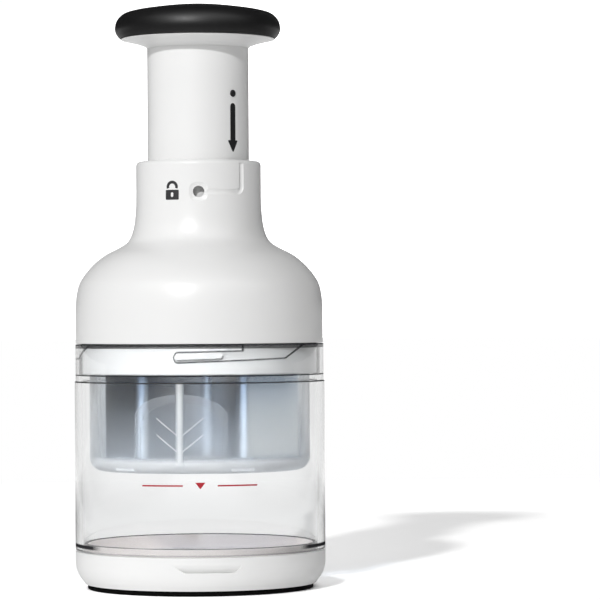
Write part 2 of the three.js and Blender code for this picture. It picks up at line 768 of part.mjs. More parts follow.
const makePlunger = () => {
  const tube = turnedRing([
    [plungerBore, plungerZ], [plungerLipRadius, plungerZ], [plungerLipRadius, plungerLipTopZ],
    [plungerRadius, plungerLipTopZ], [plungerRadius, plungerTopZ], [plungerOpening, plungerTopZ],
    [plungerOpening, plungerFlangeZ], [plungerBore, plungerFlangeZ],
  ], middleSteps);
  const studHole = rod(studShankDiameter / 2 + fitGap, plungerBore - overrun, plungerRadius + overrun)
    .rotateX(quarterTurn).translate(0, 0, studZ).rotateZ(lockAzimuth);
  return carved(tube, studHole,
    ...placedRods(coreScrewShank + fitGap, coreScrewCircle, screwAzimuths,
      plungerFlangeZ - overrun, plungerTopZ + overrun),
    ...placedRods(coreScrewHead + fitGap, coreScrewCircle, screwAzimuths,
      plungerFlangeZ - overrun, plungerFlangeZ + seatGap * 2 + coreScrewHeadHeight));
};

const knobOutline = knobShares.map(([a, b]) => [a * knobRadius, knobZ + b * knobHeight]);

const makeKnobCap = () => {
  const inside = inset(coarse(knobOutline), knobWall).map(([r, z]) => [Math.max(r, 0), Math.max(z, knobZ)]);
  inside[inside.length - 1][0] = 0;
  return turned([...inside.slice().reverse(), ...knobOutline], middleSteps);
};

const makeKnobCore = () => {
  const dome = inset(coarse(knobOutline), knobWall + seatGap);
  const cavity = inset(coarse(knobOutline), knobWall + seatGap + coreWall);
  const floorZ = coreZ + coreFloor;
  const keep = (outline, low) => outline.filter(([, z]) => z > low).map(([r, z]) => [Math.max(r, 0), z]);
  const upper = keep(dome, coreRimZ + coreRimThickness);
  const cavityRimZ = coreZ + coreConeRise + coreFloor + coreRimThickness;
  const lower = keep(cavity, cavityRimZ);
  upper[upper.length - 1][0] = 0;
  lower[lower.length - 1][0] = 0;
  const rimRadius = knobOutline[0][0] - knobWall / 8;
  const shell = turned([
    ...lower.slice().reverse(), [lower[0][0], cavityRimZ],
    [plungerRadius + coreConeRun, coreZ + coreConeRise + coreFloor], [plungerRadius, floorZ],
    [plungerOpening, floorZ], [plungerOpening, coreZ],
    [plungerRadius, coreZ], [plungerRadius + coreConeRun, coreZ + coreConeRise],
    [rimRadius, coreRimZ - coreRimThickness], [rimRadius, coreRimZ], [upper[0][0], coreRimZ],
    ...upper,
  ], middleSteps);
  const bosses = placedRods(coreBossRadius, coreScrewCircle, screwAzimuths,
    floorZ - rootDepth, floorZ + coreBossHeight);
  const pilots = placedRods(coreScrewShank + fitGap, coreScrewCircle, screwAzimuths,
    coreZ - overrun, coreZ + coreScrewLength);
  return carved(joined(shell, ...bosses), ...pilots);
};

const makeStud = () => {
  const start = plungerBore + fitGap;
  const seat = plungerRadius + seatGap;
  const head = studHeadDiameter / 2;
  const shank = studShankDiameter / 2;
  return turned([
    [0, start], [shank, start], [shank, seat], [head, seat], [head, seat + studHeadHeight - studHeadRound],
    [head - studHeadRound, seat + studHeadHeight], [0, seat + studHeadHeight],
  ], screwSteps).rotateX(quarterTurn);
};

// Rotor
const makeShaft = () => {
  const ribs = loft(spread(shaftZ, shaftRibTopZ, shaftRibSteps).map((z) => shaftRing(z, 0)));
  const groove = shaftJournal - clipGroove;
  const stem = turned([
    [0, shaftRibTopZ - rootDepth], [shaftStem, shaftRibTopZ - rootDepth], [shaftStem, shaftShoulderZ],
    [shaftJournal, shaftShoulderZ], [shaftJournal, clipZ - seatGap], [groove, clipZ - seatGap],
    [groove, clipTopZ + seatGap], [shaftJournal, clipTopZ + seatGap], [shaftJournal, shaftTopZ],
    [0, shaftTopZ],
  ], smallSteps);
  const pilot = rod(carrierScrewShank + fitGap, shaftZ - overrun,
    carrierWebZ - seatGap + carrierScrewLength + seatGap);
  return carved(joined(ribs, stem), pilot);
};

const makeClip = () => {
  const inner = shaftJournal - clipGroove + fitGap;
  const ring = turnedRing([
    [inner, clipZ], [inner + clipWidth, clipZ], [inner + clipWidth, clipTopZ], [inner, clipTopZ],
  ], smallSteps);
  const mouth = new THREE.BoxGeometry(clipMouth, (inner + clipWidth) * 2, clipThickness + overrun * 2)
    .translate(0, -(inner + clipWidth), (clipZ + clipTopZ) / 2);
  return carved(ring, mouth);
};

// The blade's centre line in plan, and a strip of a given thickness along it
const bladeCorners = [
  [-bladeSpan / 2, bladeEndReach], [-bladeFoldSpan / 2, -bladeFrontReach], [0, bladeBackReach],
  [bladeFoldSpan / 2, -bladeFrontReach], [bladeSpan / 2, bladeEndReach],
].map(([x, y]) => new THREE.Vector2(x, y));

const bladeLine = bladeCorners.flatMap((corner, i) => {
  if (i === 0 || i === bladeCorners.length - 1) return [corner];
  const back = bladeCorners[i - 1].clone().sub(corner).normalize();
  const on = bladeCorners[i + 1].clone().sub(corner).normalize();
  const half = back.angleTo(on) / 2;
  const middle = back.clone().add(on).normalize();
  const centre = corner.clone().addScaledVector(middle, bladeFoldRadius / Math.sin(half));
  const side = Math.sign(back.cross(on));
  return spread(-1, 1, bladeFoldSteps).map((share) => {
    const swing = share * (quarterTurn - half) * side;
    return centre.clone().addScaledVector(
      middle.clone().multiplyScalar(-1).rotateAround(new THREE.Vector2(), -swing), bladeFoldRadius,
    );
  });
});

const strip = (halfWidth, reach, z) => {
  const sides = bladeLine.map((p, i) => {
    const into = p.clone().sub(bladeLine[Math.max(i - 1, 0)]).normalize();
    const out = bladeLine[Math.min(i + 1, bladeLine.length - 1)].clone().sub(p).normalize();
    if (i === 0) into.copy(out);
    if (i === bladeLine.length - 1) out.copy(into);
    const along = into.clone().add(out).normalize();
    const across = new THREE.Vector2(-along.y, along.x).multiplyScalar(halfWidth / along.dot(into));
    const end = p.clone();
    if (i === 0) end.addScaledVector(along, -reach);
    if (i === bladeLine.length - 1) end.addScaledVector(along, reach);
    return [end.clone().add(across), end.clone().sub(across)];
  });
  const outline = [...sides.map(([left]) => left), ...sides.map(([, right]) => right).reverse()];
  return outline.map((p) => new THREE.Vector3(p.x, p.y, z));
};

const makeBlade = () => loft([
  strip(bladeEdgeThickness / 2, 0, bladeZ), strip(bladeThickness / 2, 0, bladeZ + bladeBevel),
  strip(bladeThickness / 2, 0, bladeTopZ),
], { level: true });

const makeCarrier = () => {
  const disc = turned([
    [0, carrierZ], [carrierRadius - carrierRound, carrierZ], [carrierRadius, carrierZ + carrierRound],
    [carrierRadius, carrierTopZ - carrierRound], [carrierRadius - carrierRound, carrierTopZ],
    [hubRadius, carrierTopZ], [hubRadius, hubTopZ], [0, hubTopZ],
  ]);
  const groove = bladeThickness / 2 + fitGap;
  const seat = loft([strip(groove, fitGap, carrierZ - overrun), strip(groove, fitGap, bladeTopZ + seatGap)],
    { level: true });
  return carved(disc, seat,
    rod(carrierScrewHead + fitGap, carrierZ - overrun, carrierWebZ, smallSteps),
    rod(carrierScrewShank + fitGap, carrierZ, hubTopZ),
    shaftTool(socketZ, hubTopZ + overrun, 2).rotateZ(-bladeAzimuth));
};

const makeGuard = () => {
  const inner = guardInnerRadius;
  const cornerRadius = guardRadius - guardCorner;
  const corner = (radius) => spread(0, quarterTurn, guardCornerSteps).map((angle) => [
    cornerRadius + radius * Math.sin(angle), guardCornerZ - radius * Math.cos(angle),
  ]);
  const hang = hookRadius + slideGap;
  const drum = turned([
    [0, guardZ], ...corner(guardCorner), [guardRadius, guardTopZ], [hang, guardTopZ], [hang, guardFlangeZ],
    [inner, guardFlangeZ], ...corner(guardCorner - guardWall).reverse(), [0, guardFloorTopZ],
  ]);
  const root = guardRadius - rootDepth;
  const proud = guardRadius + gripThickness;
  const grip = gripAzimuth - bladeAzimuth;
  const pad = arcBar(spread(-1, 1, gripSteps).map((share) => ({
    azimuth: grip + share * gripHalfAngle,
    inner: root,
    outer: proud,
    low: guardCornerZ,
    high: guardCornerZ + gripShoulder + gripArchRise * Math.sqrt(1 - share * share),
  })));
  const ribAngle = gripRibWidth / 2 / guardRadius;
  const rib = arcBox(grip - ribAngle, grip + ribAngle, root, guardRadius + gripRibProud,
    guardCornerZ + gripRibStart, guardCornerZ + gripRibStart + gripRibHeight);
  const chevrons = Array.from({ length: chevronCount }, (unused, i) => {
    const low = guardCornerZ + chevronBase + i * chevronPitch;
    return arcBar(spread(-1, 1, 4).map((share) => ({
      azimuth: grip + share * chevronHalfAngle,
      inner: root,
      outer: proud + chevronProud,
      low: low + Math.abs(share) * chevronDrop,
      high: low + Math.abs(share) * chevronDrop + chevronWidth,
    })));
  });
  const blockInner = carrierRadius + blockWallGap;
  const blockAngle = blockWidth / 2 / blockInner;
  const blocks = [-1, 1].map((side) => arcBox(
    grip + side * blockHalfAngle - blockAngle, grip + side * blockHalfAngle + blockAngle,
    blockInner, inner + rootDepth, guardFloorTopZ, guardFloorTopZ + blockHeight,
  ));
  const slot = bladeThickness / 2 + guardSlotGap;
  const slots = loft([
    strip(slot, guardSlotGap, guardZ - overrun), strip(slot, guardSlotGap, guardCornerZ + overrun),
  ], { level: true });
  return carved(joined(drum, pad, rib, ...chevrons, ...blocks), slots);
};

// Materials
const whitePlastic = new THREE.MeshStandardMaterial({ color: 0xf1f0ee, roughness: 0.32, metalness: 0 });
const innerPlastic = new THREE.MeshStandardMaterial({ color: 0xe6e7e8, roughness: 0.45, metalness: 0 });
const softBlack = new THREE.MeshStandardMaterial({ color: 0x202021, roughness: 0.62, metalness: 0 });
const clearPlastic = new THREE.MeshStandardMaterial({
  color: 0xe9eef0, roughness: 0.05, metalness: 0, transparent: true, opacity: 0.25,
});
const milkyPlastic = new THREE.MeshStandardMaterial({
  color: 0xb4bcc6, roughness: 0.3, metalness: 0, transparent: true, opacity: 0.7,
});
const greyPlastic = new THREE.MeshStandardMaterial({ color: 0xb7b5bf, roughness: 0.5, metalness: 0 });
const bladeSteel = new THREE.MeshStandardMaterial({ color: 0x8d99a8, roughness: 0.28, metalness: 1 });
const wireSteel = new THREE.MeshStandardMaterial({ color: 0x9a9a9c, roughness: 0.35, metalness: 1 });

// Assembly
const piece = (name, geometry, material) => {
  const mesh = new THREE.Mesh(welded(geometry), material);
  mesh.name = name;
  return mesh;
};

const placed = (mesh, circle, azimuth) => {
  mesh.position.copy(at(circle, azimuth, 0));
  return mesh;
};

const base = new THREE.Group();
base.add(
  piece('base_cap', makeBase(), whitePlastic),
  piece('foot_ring', makeFootRing(), softBlack),
  piece('cutting_pad', makePad(), greyPlastic),
);

const chamber = new THREE.Group();
chamber.add(piece('chopping_chamber', makeChamber(), clearPlastic));

const housing = new THREE.Group();
housing.add(
  piece('upper_housing', makeHousing(), whitePlastic),
  piece('bayonet_ring', makeBayonetRing(), innerPlastic),
  piece('drive_bridge', makeBridge(), innerPlastic),
  piece('index_nut', makeNut(), greyPlastic),
  piece('nut_spring', coil('nut_spring', {
    radius: nutSpringRadius, wire: nutSpringWire, low: nutTopZ + seatGap,
    high: retainerTopZ - retainerTop - seatGap, turns: nutSpringTurns,
  }), wireSteel),
  piece('nut_retainer', makeRetainer(), innerPlastic),
  piece('return_spring', coil('return_spring', {
    radius: springRadius, wire: springWire, low: springZ, high: springTopZ, turns: springTurns,
    endTurns: springEndTurns,
  }), wireSteel),
  ...screwAzimuths.map((azimuth, i) => placed(piece(`bridge_screw_${i + 1}`, screw(
    ringFlangeZ - seatGap - bridgeScrewHeadHeight, bridgeScrewHead, bridgeScrewHeadHeight,
    bridgeScrewShank, bridgeScrewLength,
  ), wireSteel), screwCircle, azimuth)),
);

const knob = new THREE.Group();
const stud = piece('lock_stud', makeStud(), softBlack);
stud.position.z = studZ;
stud.rotation.z = lockAzimuth;
knob.add(
  piece('plunger_tube', makePlunger(), whitePlastic),
  piece('knob_core', makeKnobCore(), whitePlastic),
  piece('knob_cap', makeKnobCap(), softBlack),
  stud,
  ...screwAzimuths.map((azimuth, i) => placed(piece(`core_screw_${i + 1}`, screw(
    plungerFlangeZ + seatGap, coreScrewHead, coreScrewHeadHeight, coreScrewShank, coreScrewLength,
  ), wireSteel), coreScrewCircle, azimuth)),
);

const rotor = new THREE.Group();
const bladeSet = new THREE.Group();
bladeSet.rotation.z = bladeAzimuth;
bladeSet.add(
  piece('blade_carrier', makeCarrier(), innerPlastic),
  piece('zigzag_blade', makeBlade(), bladeSteel),
);
rotor.add(
  piece('drive_shaft', makeShaft(), greyPlastic),
  piece('shaft_clip', makeClip(), wireSteel),
  piece('carrier_screw', screw(
    carrierScrewHeadZ, carrierScrewHead, carrierScrewHeadHeight, carrierScrewShank, carrierScrewLength,
  ), wireSteel),
  bladeSet,
);

const carriage = new THREE.Group();
carriage.add(piece('spring_cap', makeSpringCap(), greyPlastic), knob, rotor);

const guard = new THREE.Group();
guard.rotation.z = bladeAzimuth;
guard.add(piece('blade_guard', makeGuard(), milkyPlastic));

const chopper = new THREE.Group();
housing.add(carriage, guard);
chamber.add(housing);
base.add(chamber);
chopper.add(base);

export default chopper;
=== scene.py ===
import math

import bmesh
import bpy
from mathutils import Matrix, Vector


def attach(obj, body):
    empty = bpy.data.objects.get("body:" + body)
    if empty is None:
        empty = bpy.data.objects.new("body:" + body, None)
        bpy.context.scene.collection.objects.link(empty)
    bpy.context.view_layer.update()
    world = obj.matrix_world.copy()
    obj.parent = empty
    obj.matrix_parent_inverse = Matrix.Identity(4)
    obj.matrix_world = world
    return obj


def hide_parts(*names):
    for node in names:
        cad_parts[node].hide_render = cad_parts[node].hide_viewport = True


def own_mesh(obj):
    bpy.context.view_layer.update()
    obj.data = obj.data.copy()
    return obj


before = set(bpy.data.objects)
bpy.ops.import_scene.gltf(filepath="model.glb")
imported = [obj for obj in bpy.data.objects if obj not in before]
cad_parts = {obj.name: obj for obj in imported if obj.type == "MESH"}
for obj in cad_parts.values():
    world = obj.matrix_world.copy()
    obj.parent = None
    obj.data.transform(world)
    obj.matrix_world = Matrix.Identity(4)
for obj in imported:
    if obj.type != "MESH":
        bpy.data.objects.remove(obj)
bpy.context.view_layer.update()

# Lengths are in mm, and azimuths run from the front (-Y) towards +X, unless a comment says
# otherwise. Meshes and nodes are in metres.
MM = 0.001
DEG = math.pi / 180
TURN = 2 * math.pi
QUARTER = math.pi / 2
FINE = 240                # steps round a turned piece
FILLET_STEPS = 5
FILLET_SHARE = 0.49       # of a side's length that a fillet may take
THIRDS = (0, 120, 240)    # degrees, for what comes three times round the axis
PROUD = 1.5               # how far a cutting shape stands out of the wall that it cuts
SAME_POINT = 2e-7         # metres
NO_SIZE = 1e-8            # metres

scene = bpy.context.scene
scene.view_settings.view_transform = "Standard"


# Outlines
def at(r, az, z):
    """A point in metres at a radius and a height in mm, and an azimuth in radians."""
    return (r * math.sin(az) * MM, -r * math.cos(az) * MM, z * MM)


def spread(a, b, n):
    """Even numbers from a to b, in n steps."""
    return [a + (b - a) * i / n for i in range(n + 1)]


def closing(n):
    """Numbers from -1 to 1, in n steps that get shorter towards both ends."""
    return [math.sin(t) for t in spread(-QUARTER, QUARTER, n)]


def fillet(corner, back, on, half, radius, steps):
    """Points of an arc in a corner of two unit directions, given half the angle between them."""
    middle = (back + on).normalized()
    centre = corner + middle * (radius / math.sin(half))
    side = 1 if back.cross(on) > 0 else -1
    points = []
    for s in spread(-1, 1, steps):
        a = s * (QUARTER - half) * side
        d = -middle
        d = Vector((d.x * math.cos(a) + d.y * math.sin(a), -d.x * math.sin(a) + d.y * math.cos(a)))
        points.append(centre + d * radius)
    return points


def soft(points, closed=False):
    """Rounds the corners of an outline. A point is (r, z) or (r, z, fillet radius)."""
    out = []
    n = len(points)
    for i, p in enumerate(points):
        radius = p[2] if len(p) > 2 else 0
        if radius <= 0 or (not closed and i in (0, n - 1)):
            out.append((p[0], p[1]))
            continue
        here = Vector(p[:2])
        back = Vector(points[i - 1][:2]) - here
        on = Vector(points[(i + 1) % n][:2]) - here
        half = back.angle(on) / 2
        longest = min(back.length * FILLET_SHARE, on.length * FILLET_SHARE)
        r = min(radius / math.tan(half), longest) * math.tan(half)
        arc = fillet(here, back.normalized(), on.normalized(), half, r, FILLET_STEPS)
        out += [(q.x, q.y) for q in arc]
    return out


def flowing(points, n=6):
    """A smooth line through the points, in n steps between each two of them."""
    pts = [Vector(p) for p in points]
    pts = [pts[0] * 2 - pts[1]] + pts + [pts[-1] * 2 - pts[-2]]
    out = []
    for i in range(1, len(pts) - 2):
        p0, p1, p2, p3 = pts[i - 1 : i + 3]
        t0 = 0.0
        t1 = t0 + (p1 - p0).length ** 0.5
        t2 = t1 + (p2 - p1).length ** 0.5
        t3 = t2 + (p3 - p2).length ** 0.5
        for k in range(n):
            t = t1 + (t2 - t1) * k / n
            a1 = p0 * ((t1 - t) / (t1 - t0)) + p1 * ((t - t0) / (t1 - t0))
            a2 = p1 * ((t2 - t) / (t2 - t1)) + p2 * ((t - t1) / (t2 - t1))
            a3 = p2 * ((t3 - t) / (t3 - t2)) + p3 * ((t - t2) / (t3 - t2))
            b1 = a1 * ((t2 - t) / (t2 - t0)) + a2 * ((t - t0) / (t2 - t0))
            b2 = a2 * ((t3 - t) / (t3 - t1)) + a3 * ((t - t1) / (t3 - t1))
            q = b1 * ((t2 - t) / (t2 - t1)) + b2 * ((t - t1) / (t2 - t1))
            out.append((q.x, q.y))
    out.append(tuple(points[-1]))
    return out


def stepped(a, b, step):
    """Points from a to b, not counting b, no further apart than the step."""
    n = max(1, math.ceil((Vector(b) - Vector(a)).length / step))
    return [(a[0] + (b[0] - a[0]) * i / n, a[1] + (b[1] - a[1]) * i / n) for i in range(n)]


def inset(points, distance):
    """Moves an outline to its left."""
    out = []
    for i, p in enumerate(points):
        a = Vector(points[max(i - 1, 0)])
        b = Vector(points[min(i + 1, len(points) - 1)])
        d = (b - a).normalized()
        out.append((p[0] - d.y * distance, p[1] + d.x * distance))
    return out


def rounded_end(low, high, end, reach, least):
    """Draws two edges together near their end, as a half round does, down to a least share."""
    if end >= reach:
        return low, high
    middle, half = (low + high) / 2, (high - low) / 2
    k = max(least, math.sqrt(max(0.0, 1 - ((reach - end) / reach) ** 2)))
    return middle - half * k, middle + half * k


# Meshes
def mesh_of(name, verts, faces):
    """A mesh without double points or faces of no size. Its faces point out."""
    me = bpy.data.meshes.new(name)
    me.from_pydata([tuple(v) for v in verts], [], faces)
    bm = bmesh.new()
    bm.from_mesh(me)
    bmesh.ops.remove_doubles(bm, verts=bm.verts, dist=SAME_POINT)
    bmesh.ops.dissolve_degenerate(bm, edges=bm.edges, dist=NO_SIZE)
    bmesh.ops.recalc_face_normals(bm, faces=bm.faces)
    bm.to_mesh(me)
    bm.free()
    return me


def piece(name, me, look, body, stands_for=(), angle=32, turn=0.0):
    """A mesh as a piece: smooth up to an angle in degrees, turned by radians, riding on a body."""
    me.polygons.foreach_set("use_smooth", [True] * len(me.polygons))
    me.set_sharp_from_angle(angle=math.radians(angle))
    me.update()
    if turn:
        me.transform(Matrix.Rotation(turn, 4, "Z"))
    me.materials.clear()
    me.materials.append(look)
    ob = bpy.data.objects.new(name, me)
    scene.collection.objects.link(ob)
    even = ob.modifiers.new("even", "WEIGHTED_NORMAL")
    even.mode = "FACE_AREA"
    even.keep_sharp = True
    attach(ob, body)
    if stands_for:
        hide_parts(*stands_for)
    return ob


def lathe(name, outline, steps=FINE, closed=True):
    """Revolves an outline. A closed one comes back to its first point; the other starts and ends
    on the axis."""
    n = len(outline)
    verts, faces = [], []
    for k in range(steps):
        az = TURN * k / steps
        verts += [at(r, az, z) for r, z in outline]
    spans = n if closed else n - 1
    for k in range(steps):
        a, b = k * n, ((k + 1) % steps) * n
        for i in range(spans):
            j = (i + 1) % n
            faces.append((a + i, b + i, b + j, a + j))
    return mesh_of(name, verts, faces)


def loft(name, rings):
    """Joins rings of points, all with the same count, into a skin with closed ends."""
    n = len(rings[0])
    verts = [v for ring in rings for v in ring]
    faces = []
    for i in range(len(rings) - 1):
        a, b = i * n, (i + 1) * n
        for k in range(n):
            j = (k + 1) % n
            faces.append((a + k, a + j, b + j, b + k))
    faces.append(tuple(range(n)))
    faces.append(tuple(range(len(verts) - n, len(verts))))
    return mesh_of(name, verts, faces)


def bar(name, stations):
    """A four-sided bar along the azimuth from (azimuth in radians, inner, outer, low, high)."""
    return loft(name, [[at(i, a, lo), at(o, a, lo), at(o, a, hi), at(i, a, hi)]
                       for a, i, o, lo, hi in stations])


def tube_along(name, path, radius, sides=16):
    """A round bar along a path. Path and radius are in metres."""
    pts = [Vector(p) for p in path]
    rings = []
    for i, p in enumerate(pts):
        d = (pts[min(i + 1, len(pts) - 1)] - pts[max(i - 1, 0)]).normalized()
        out = Vector((p.x, p.y, 0)).normalized()
        side = d.cross(out).normalized()
        out = side.cross(d).normalized()
        angles = [TURN * k / sides for k in range(sides)]
        rings.append([p + (out * math.cos(a) + side * math.sin(a)) * radius for a in angles])
    return loft(name, rings)


def dish(name, az, z, radius, half, depth, power=3.2, rows=14, steps=48):
    """A lens with a rounded-square outline, to press a soft hollow into a round wall."""
    def ring(share, r):
        points = []
        for k in range(steps):
            c, s = math.cos(TURN * k / steps), math.sin(TURN * k / steps)
            size = half * share / (abs(c) ** power + abs(s) ** power) ** (1 / power)
            points.append(at(r, az + size * c / radius, z + size * s))
        return points

    rings = [ring(t, radius - depth * (1 - t ** 2) ** 0.75) for t in spread(0, 1, rows)[1:]]
    return loft(name, rings + [ring(1, radius + PROUD)])


def combine(me, *tools, how="DIFFERENCE"):
    """Joins to or cuts from a mesh, exactly."""
    base = bpy.data.objects.new("work", me)
    scene.collection.objects.link(base)
    extra = []
    for tool in tools:
        ob = bpy.data.objects.new("tool", tool)
        scene.collection.objects.link(ob)
        extra.append(ob)
        mod = base.modifiers.new("m", "BOOLEAN")
        mod.operation = how
        mod.solver = "EXACT"
        mod.object = ob
    bpy.context.view_layer.update()
    graph = bpy.context.evaluated_depsgraph_get()
    out = bpy.data.meshes.new_from_object(base.evaluated_get(graph))
    for ob in [base] + extra:
        bpy.data.objects.remove(ob)
    return out


# Node helpers
def material(name, colour, roughness, metallic=0.0, **more):
    """A material, its tree and its shader. Further names are sockets, with _ for each space."""
    mat = bpy.data.materials.new(name)
    mat.use_nodes = True
    bsdf = mat.node_tree.nodes["Principled BSDF"]
    bsdf.inputs["Base Color"].default_value = (*colour, 1)
    bsdf.inputs["Roughness"].default_value = roughness
    bsdf.inputs["Metallic"].default_value = metallic
    for key, value in more.items():
        bsdf.inputs[key.replace("_", " ")].default_value = value
    return mat, mat.node_tree, bsdf


def node(tree, kind, **values):
    """A node with values for its sockets or its settings."""
    n = tree.nodes.new(kind)
    for key, value in values.items():
        if key in n.inputs:
            n.inputs[key].default_value = value
        else:
            setattr(n, key, value)
    return n


def noise(tree, scale, detail=3.0, stretch=(1, 1, 1), rough=0.5):
    """Noise in object space. The scale is per metre."""
    coord = node(tree, "ShaderNodeTexCoord")
    mapping = node(tree, "ShaderNodeMapping", Scale=stretch)
    tex = node(tree, "ShaderNodeTexNoise", Scale=scale, Detail=detail, Roughness=rough)
    tree.links.new(coord.outputs["Object"], mapping.inputs["Vector"])
    tree.links.new(mapping.outputs["Vector"], tex.inputs["Vector"])
    return tex.outputs["Fac"]


def mapped(tree, value, start, end, a, b, **more):
    """Runs from a to b while the value goes from start to end."""
    m = node(tree, "ShaderNodeMapRange", **more)
    for key, v in (("From Min", start), ("From Max", end), ("To Min", a), ("To Max", b)):
        m.inputs[key].default_value = v
    tree.links.new(value, m.inputs["Value"])
    return m.outputs["Result"]


def ramp(tree, value, low, high, a, b):
    """Runs from a to b while the value, in metres, goes from low to high, in mm."""
    return mapped(tree, value, low * MM, high * MM, a, b)


def facing(tree, start, end, a, b):
    """Runs from a to b while the surface turns away, from 0 facing to 1 seen edge on."""
    slant = node(tree, "ShaderNodeLayerWeight", Blend=0.5)
    return mapped(tree, slant.outputs["Facing"], start, end, a, b)


def position(tree, axis):
    """How far a point lies along an axis, in metres. R is its distance from the upright axis."""
    coord = node(tree, "ShaderNodeTexCoord")
    if axis == "R":
        flat = node(tree, "ShaderNodeVectorMath", operation="MULTIPLY")
        flat.inputs[1].default_value = (1, 1, 0)
        size = node(tree, "ShaderNodeVectorMath", operation="LENGTH")
        tree.links.new(coord.outputs["Object"], flat.inputs[0])
        tree.links.new(flat.outputs["Vector"], size.inputs[0])
        return size.outputs["Value"]
    parts = node(tree, "ShaderNodeSeparateXYZ")
    tree.links.new(coord.outputs["Object"], parts.inputs["Vector"])
    return parts.outputs[axis]


def math_of(tree, operation, a, b):
    """A math node on two values, each a number or a socket."""
    m = node(tree, "ShaderNodeMath", operation=operation)
    for socket, v in zip(m.inputs, (a, b)):
        if isinstance(v, (int, float)):
            socket.default_value = v
        else:
            tree.links.new(v, socket)
    return m.outputs[0]


def most(tree, first, *others):
    """The largest of the values."""
    for other in others:
        first = math_of(tree, "MAXIMUM", first, other)
    return first


def times(tree, first, *others):
    """The product of the values."""
    for other in others:
        first = math_of(tree, "MULTIPLY", first, other)
    return first


def plus(tree, a, b):
    return math_of(tree, "ADD", a, b)


def minus(tree, a, b):
    return math_of(tree, "SUBTRACT", a, b)


def blended(tree, factor, a, b):
    """Shader a where the factor is 0, and shader b where it is 1."""
    mix = node(tree, "ShaderNodeMixShader")
    tree.links.new(factor, mix.inputs["Fac"])
    tree.links.new(a, mix.inputs[1])
    tree.links.new(b, mix.inputs[2])
    return mix.outputs["Shader"]


def bumped(tree, bsdf, height, strength, distance=0.0001):
    b = node(tree, "ShaderNodeBump", Strength=strength, Distance=distance)
    tree.links.new(height, b.inputs["Height"])
    tree.links.new(b.outputs["Normal"], bsdf.inputs["Normal"])


def tinted(tree, bsdf, value, dark, light):
    """Colours a shader from dark to light. It returns the mixed colour."""
    mix = node(tree, "ShaderNodeMix", data_type="RGBA")
    mix.inputs["A"].default_value = (*dark, 1)
    mix.inputs["B"].default_value = (*light, 1)
    tree.links.new(value, mix.inputs["Factor"])
    tree.links.new(mix.outputs["Result"], bsdf.inputs["Base Color"])
    return mix.outputs["Result"]


def roughened(tree, bsdf, value, low, high):
    tree.links.new(mapped(tree, value, 0, 1, low, high), bsdf.inputs["Roughness"])


def paint_shade(mat, shade, where):
    """Paints shade into a material as a dark diffuse mix. How much of it is what where(tree) gives
    at each point.
    """
    tree = mat.node_tree
    dark = node(tree, "ShaderNodeBsdfDiffuse", Color=(*shade, 1))
    own = tree.nodes["Principled BSDF"]
    look = blended(tree, where(tree), own.outputs["BSDF"], dark.outputs["BSDF"])
    tree.links.new(look, tree.nodes["Material Output"].inputs["Surface"])


def lets_light_in(mat, tree, shader, shadow):
    """Lamp light passes through with a tint, as it does through a thin clear wall."""
    path = node(tree, "ShaderNodeLightPath")
    open_air = node(tree, "ShaderNodeBsdfTransparent", Color=(*shadow, 1))
    look = blended(tree, path.outputs["Is Shadow Ray"], shader, open_air.outputs["BSDF"])
    tree.links.new(look, tree.nodes["Material Output"].inputs["Surface"])
    return mat


# Materials
def plastic(name, dark, light, roughness, grain=0.02):
    """Moulded plastic: a faint cloudiness, a fine moulding skin and uneven gloss."""
    mat, tree, bsdf = material(name, light, roughness)
    tinted(tree, bsdf, noise(tree, 38, 3), dark, light)
    roughened(tree, bsdf, noise(tree, 90, 4), roughness - 0.03, roughness + 0.04)
    bumped(tree, bsdf, noise(tree, 2600, 2), grain)
    return mat


def mark(name, colour, roughness, dark, light):
    """A print or a small black part, a little uneven."""
    mat, tree, bsdf = material(name, colour, roughness)
    tinted(tree, bsdf, noise(tree, 900, 3), dark, light)
    return mat


white = plastic("white_moulding", (0.86, 0.86, 0.855), (0.89, 0.89, 0.885), 0.3)
inner_white = plastic("inner_moulding", (0.76, 0.765, 0.77), (0.8, 0.805, 0.81), 0.35)
drive_grey = plastic("drive_moulding", (0.40, 0.40, 0.42), (0.46, 0.46, 0.48), 0.4)
pad_grey = plastic("pad_moulding", (0.8, 0.755, 0.74), (0.9, 0.85, 0.835), 0.45, 0.1)

mark_black = mark("black_mark", (0.012, 0.012, 0.013), 0.4,
                  (0.01, 0.01, 0.011), (0.018, 0.018, 0.019))
mark_grey = mark("grey_mark", (0.03, 0.03, 0.033), 0.45,
                 (0.025, 0.025, 0.028), (0.04, 0.04, 0.043))
mark_red = mark("red_mark", (0.45, 0.01, 0.02), 0.45,
                (0.38, 0.008, 0.018), (0.5, 0.012, 0.025))


def lug_gap_shade(tree):
    """Painted shade in the gaps round the lugs of the bayonet ring, and in the gap above it."""
    out = position(tree, "R")
    gaps = times(tree, ramp(tree, out, 45.08, 45.15, 0, 0.9), ramp(tree, out, 46.1, 46.2, 1, 0))
    return most(tree, gaps, ramp(tree, position(tree, "Z"), 93.3, 93.4, 0, 0.9))


def bore(tree):
    """Painted shade in the bore of the collar, so that it looks dim behind the sight hole."""
    return times(tree, ramp(tree, position(tree, "R"), 21.85, 21.95, 0.85, 0),
                 ramp(tree, position(tree, "Z"), 160, 161.5, 1, 0))


def pad_rim_shadow(tree):
    """Painted shadow line on the pad's rim, and painted shade on its outside."""
    return most(tree, ramp(tree, position(tree, "Z"), 17.45, 17.6, 0, 0.9),
                ramp(tree, position(tree, "R"), 44.3, 44.6, 0, 0.4))


# The bayonet ring's white, with painted shade in the gaps round its lugs and above it
ring_white_shaded = inner_white.copy()
ring_white_shaded.name = "ring_moulding_shaded"
paint_shade(ring_white_shaded, (0.03, 0.03, 0.032), lug_gap_shade)
# The housing's white, with painted shade in its bore
shell_white_shaded = white.copy()
shell_white_shaded.name = "shell_moulding_shaded"
paint_shade(shell_white_shaded, (0.08, 0.08, 0.08), bore)
# Painted shadow line on the pad's rim
paint_shade(pad_grey, (0.02, 0.018, 0.02), pad_rim_shadow)


